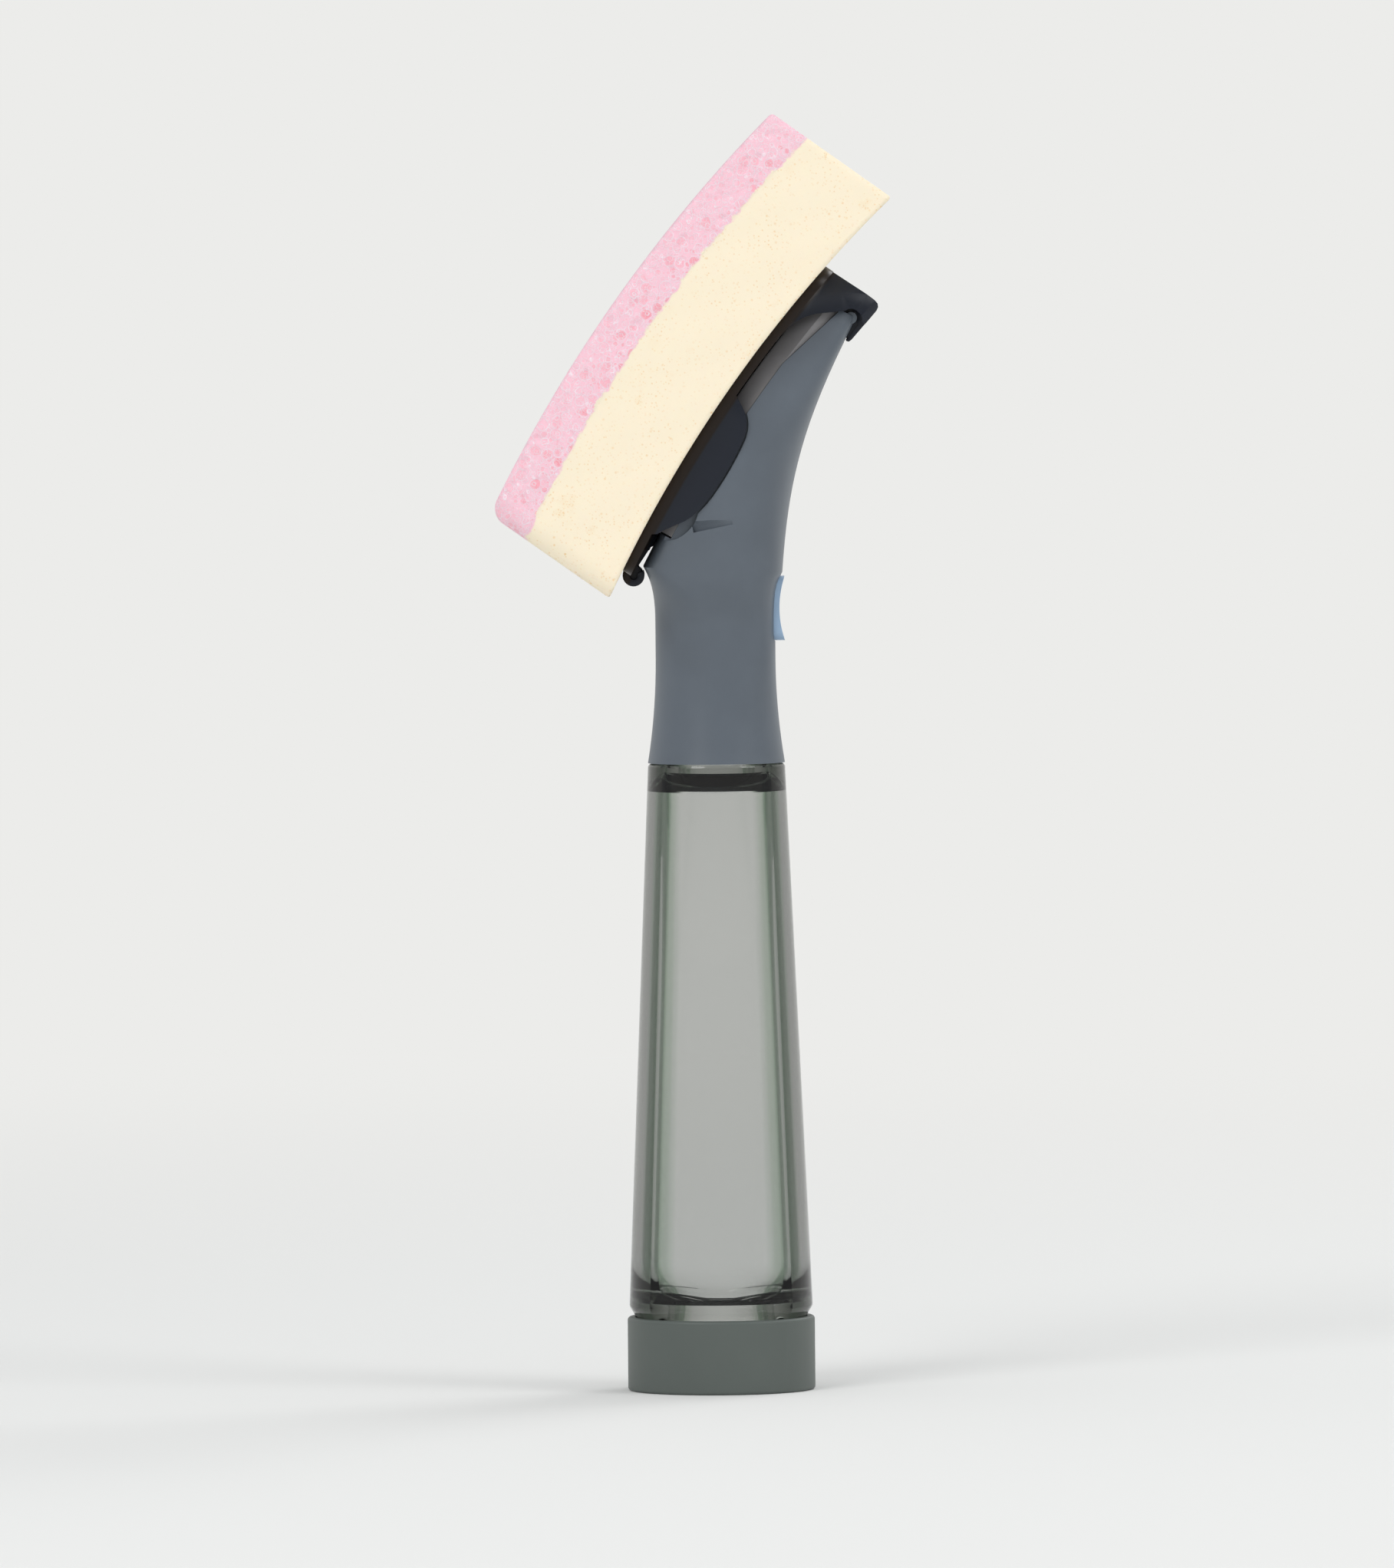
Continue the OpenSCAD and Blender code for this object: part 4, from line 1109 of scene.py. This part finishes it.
def sweep_floor(material):
    """A floor that curves up into a backdrop."""
    wide = 25.0
    front = -25.0
    back = 4.4
    height = 5.0
    curve = 0.8
    steps = 24
    profile = [(front, 0.0), (back, 0.0)]
    for index in range(1, steps + 1):
        angle = math.pi / 2 * index / steps
        profile.append((back + curve * math.sin(angle), curve * (1 - math.cos(angle))))
    profile.append((back + curve, height))
    points = [(side * wide, y, z) for y, z in profile for side in (-1, 1)]
    faces = [(2 * i, 2 * i + 1, 2 * i + 3, 2 * i + 2) for i in range(len(profile) - 1)]
    mesh = mesh_from("backdrop", points, faces, 60.0)
    return new_object("backdrop", mesh, material)


def studio_world(settings):
    """Soft even light from all round, as pale as the floor to the camera and through glass."""
    world = bpy.data.worlds.new("studio")
    world.use_nodes = True
    tree = world.node_tree
    soft = tree.nodes["Background"]
    set_inputs(tree, soft, Color=(0.96, 0.98, 1.0, 1.0), Strength=0.62)
    plain = add(tree, "ShaderNodeBackground", in_Color=settings.floor, in_Strength=1.0)
    path = add(tree, "ShaderNodeLightPath")
    seen = joined(tree, "MAXIMUM", path.outputs["Is Camera Ray"], path.outputs["Is Transmission Ray"])
    mixed_shaders(tree, seen, soft, plain, "World Output")
    return world


def backdrop_material(settings):
    """Pale paper. Away from the wand it shows plainly to the camera, in metal and through glass."""
    material, tree, shader = new_material("backdrop_paper")
    set_inputs(tree, shader, Base_Color=settings.floor, Roughness=0.9)
    away = add(tree, "ShaderNodeVectorMath", operation="LENGTH")
    tree.links.new(object_coordinates(tree), away.inputs[0])
    far = map_range(
        tree, away.outputs["Value"], settings.fade_start, settings.fade_end, kind="SMOOTHSTEP"
    )
    path = add(tree, "ShaderNodeLightPath")
    seen = joined(tree, "MAXIMUM", path.outputs["Is Camera Ray"], path.outputs["Is Glossy Ray"])
    seen = joined(tree, "MAXIMUM", seen, path.outputs["Is Transmission Ray"])
    plain = add(tree, "ShaderNodeEmission", in_Color=settings.floor, in_Strength=1.0)
    mixed_shaders(tree, joined(tree, "MULTIPLY", far, seen), shader, plain, "Material Output")
    return material


class WAND_OT_stage(bpy.types.Operator):
    """Build the floor, the lamps and the camera"""

    bl_idname = "wand.stage"
    bl_label = "Stage"

    def execute(self, context):
        settings = context.scene.wand_stage
        scene = context.scene
        sweep_floor(backdrop_material(settings))
        aim = Vector((0.0, 0.0, 0.14))
        area_lamp("key", (-1.1, -1.7, 1.6), aim, 1.1, settings.key)
        area_lamp("fill", (1.5, -0.9, 1.4), aim, 1.1, settings.fill)
        area_lamp("back", (0.9, 1.1, 1.3), aim, 0.9, settings.fill * 0.8)
        scene.world = studio_world(settings)
        scene.view_settings.view_transform = "Standard"
        pixels_per_metre = 6200.0
        photo_height = 2044
        lean = math.radians(0.5)
        middle = Vector((-4.13 * MM, 0.0, 127.5 * MM))
        data = bpy.data.cameras.new("photo_camera")
        data.sensor_width = 36.0
        drop = settings.height - middle.z
        reach = math.hypot(settings.distance, drop)
        data.lens = data.sensor_width * reach * pixels_per_metre / photo_height
        data.clip_end = 100.0
        camera = bpy.data.objects.new("photo_camera", data)
        scene.collection.objects.link(camera)
        camera.location = (middle.x, -settings.distance, settings.height)
        tilt = math.atan2(drop, settings.distance)
        camera.rotation_mode = "QUATERNION"
        facing = Matrix.Rotation(math.pi / 2 - tilt, 4, "X") @ Matrix.Rotation(-lean, 4, "Z")
        camera.rotation_quaternion = facing.to_quaternion()
        scene.camera = camera
        return {"FINISHED"}


class WAND_PT_panel(bpy.types.Panel):
    """Lists the wand's pieces and settings"""

    bl_label = "Dish wand"
    bl_idname = "WAND_PT_panel"
    bl_space_type = "VIEW_3D"
    bl_region_type = "UI"
    bl_category = "Dish wand"

    def draw(self, context):
        layout = self.layout
        for operator in OPERATORS:
            layout.operator(operator.bl_idname)
        for group in (context.scene.wand_refill, context.scene.wand_handle, context.scene.wand_stage):
            box = layout.box()
            for name in group.__annotations__:
                box.prop(group, name)


OPERATORS = (
    WAND_OT_stage,
    WAND_OT_sponge,
    WAND_OT_carrier,
    WAND_OT_head,
    WAND_OT_cap,
    WAND_OT_bottle,
    WAND_OT_valve,
)
CLASSES = (RefillSettings, HandleSettings, StageSettings, *OPERATORS, WAND_PT_panel)


def register():
    """Adds the classes and their settings."""
    for cls in CLASSES:
        bpy.utils.register_class(cls)
    bpy.types.Scene.wand_refill = PointerProperty(type=RefillSettings)
    bpy.types.Scene.wand_handle = PointerProperty(type=HandleSettings)
    bpy.types.Scene.wand_stage = PointerProperty(type=StageSettings)


def unregister():
    """Takes the classes and their settings away again."""
    del bpy.types.Scene.wand_stage
    del bpy.types.Scene.wand_handle
    del bpy.types.Scene.wand_refill
    for cls in reversed(CLASSES):
        bpy.utils.unregister_class(cls)


def main():
    register()
    bpy.ops.wand.stage()
    bpy.ops.wand.sponge()
    bpy.ops.wand.carrier()
    bpy.ops.wand.head()
    bpy.ops.wand.cap()
    bpy.ops.wand.bottle()
    bpy.ops.wand.valve()


if __name__ == "__main__":
    main()
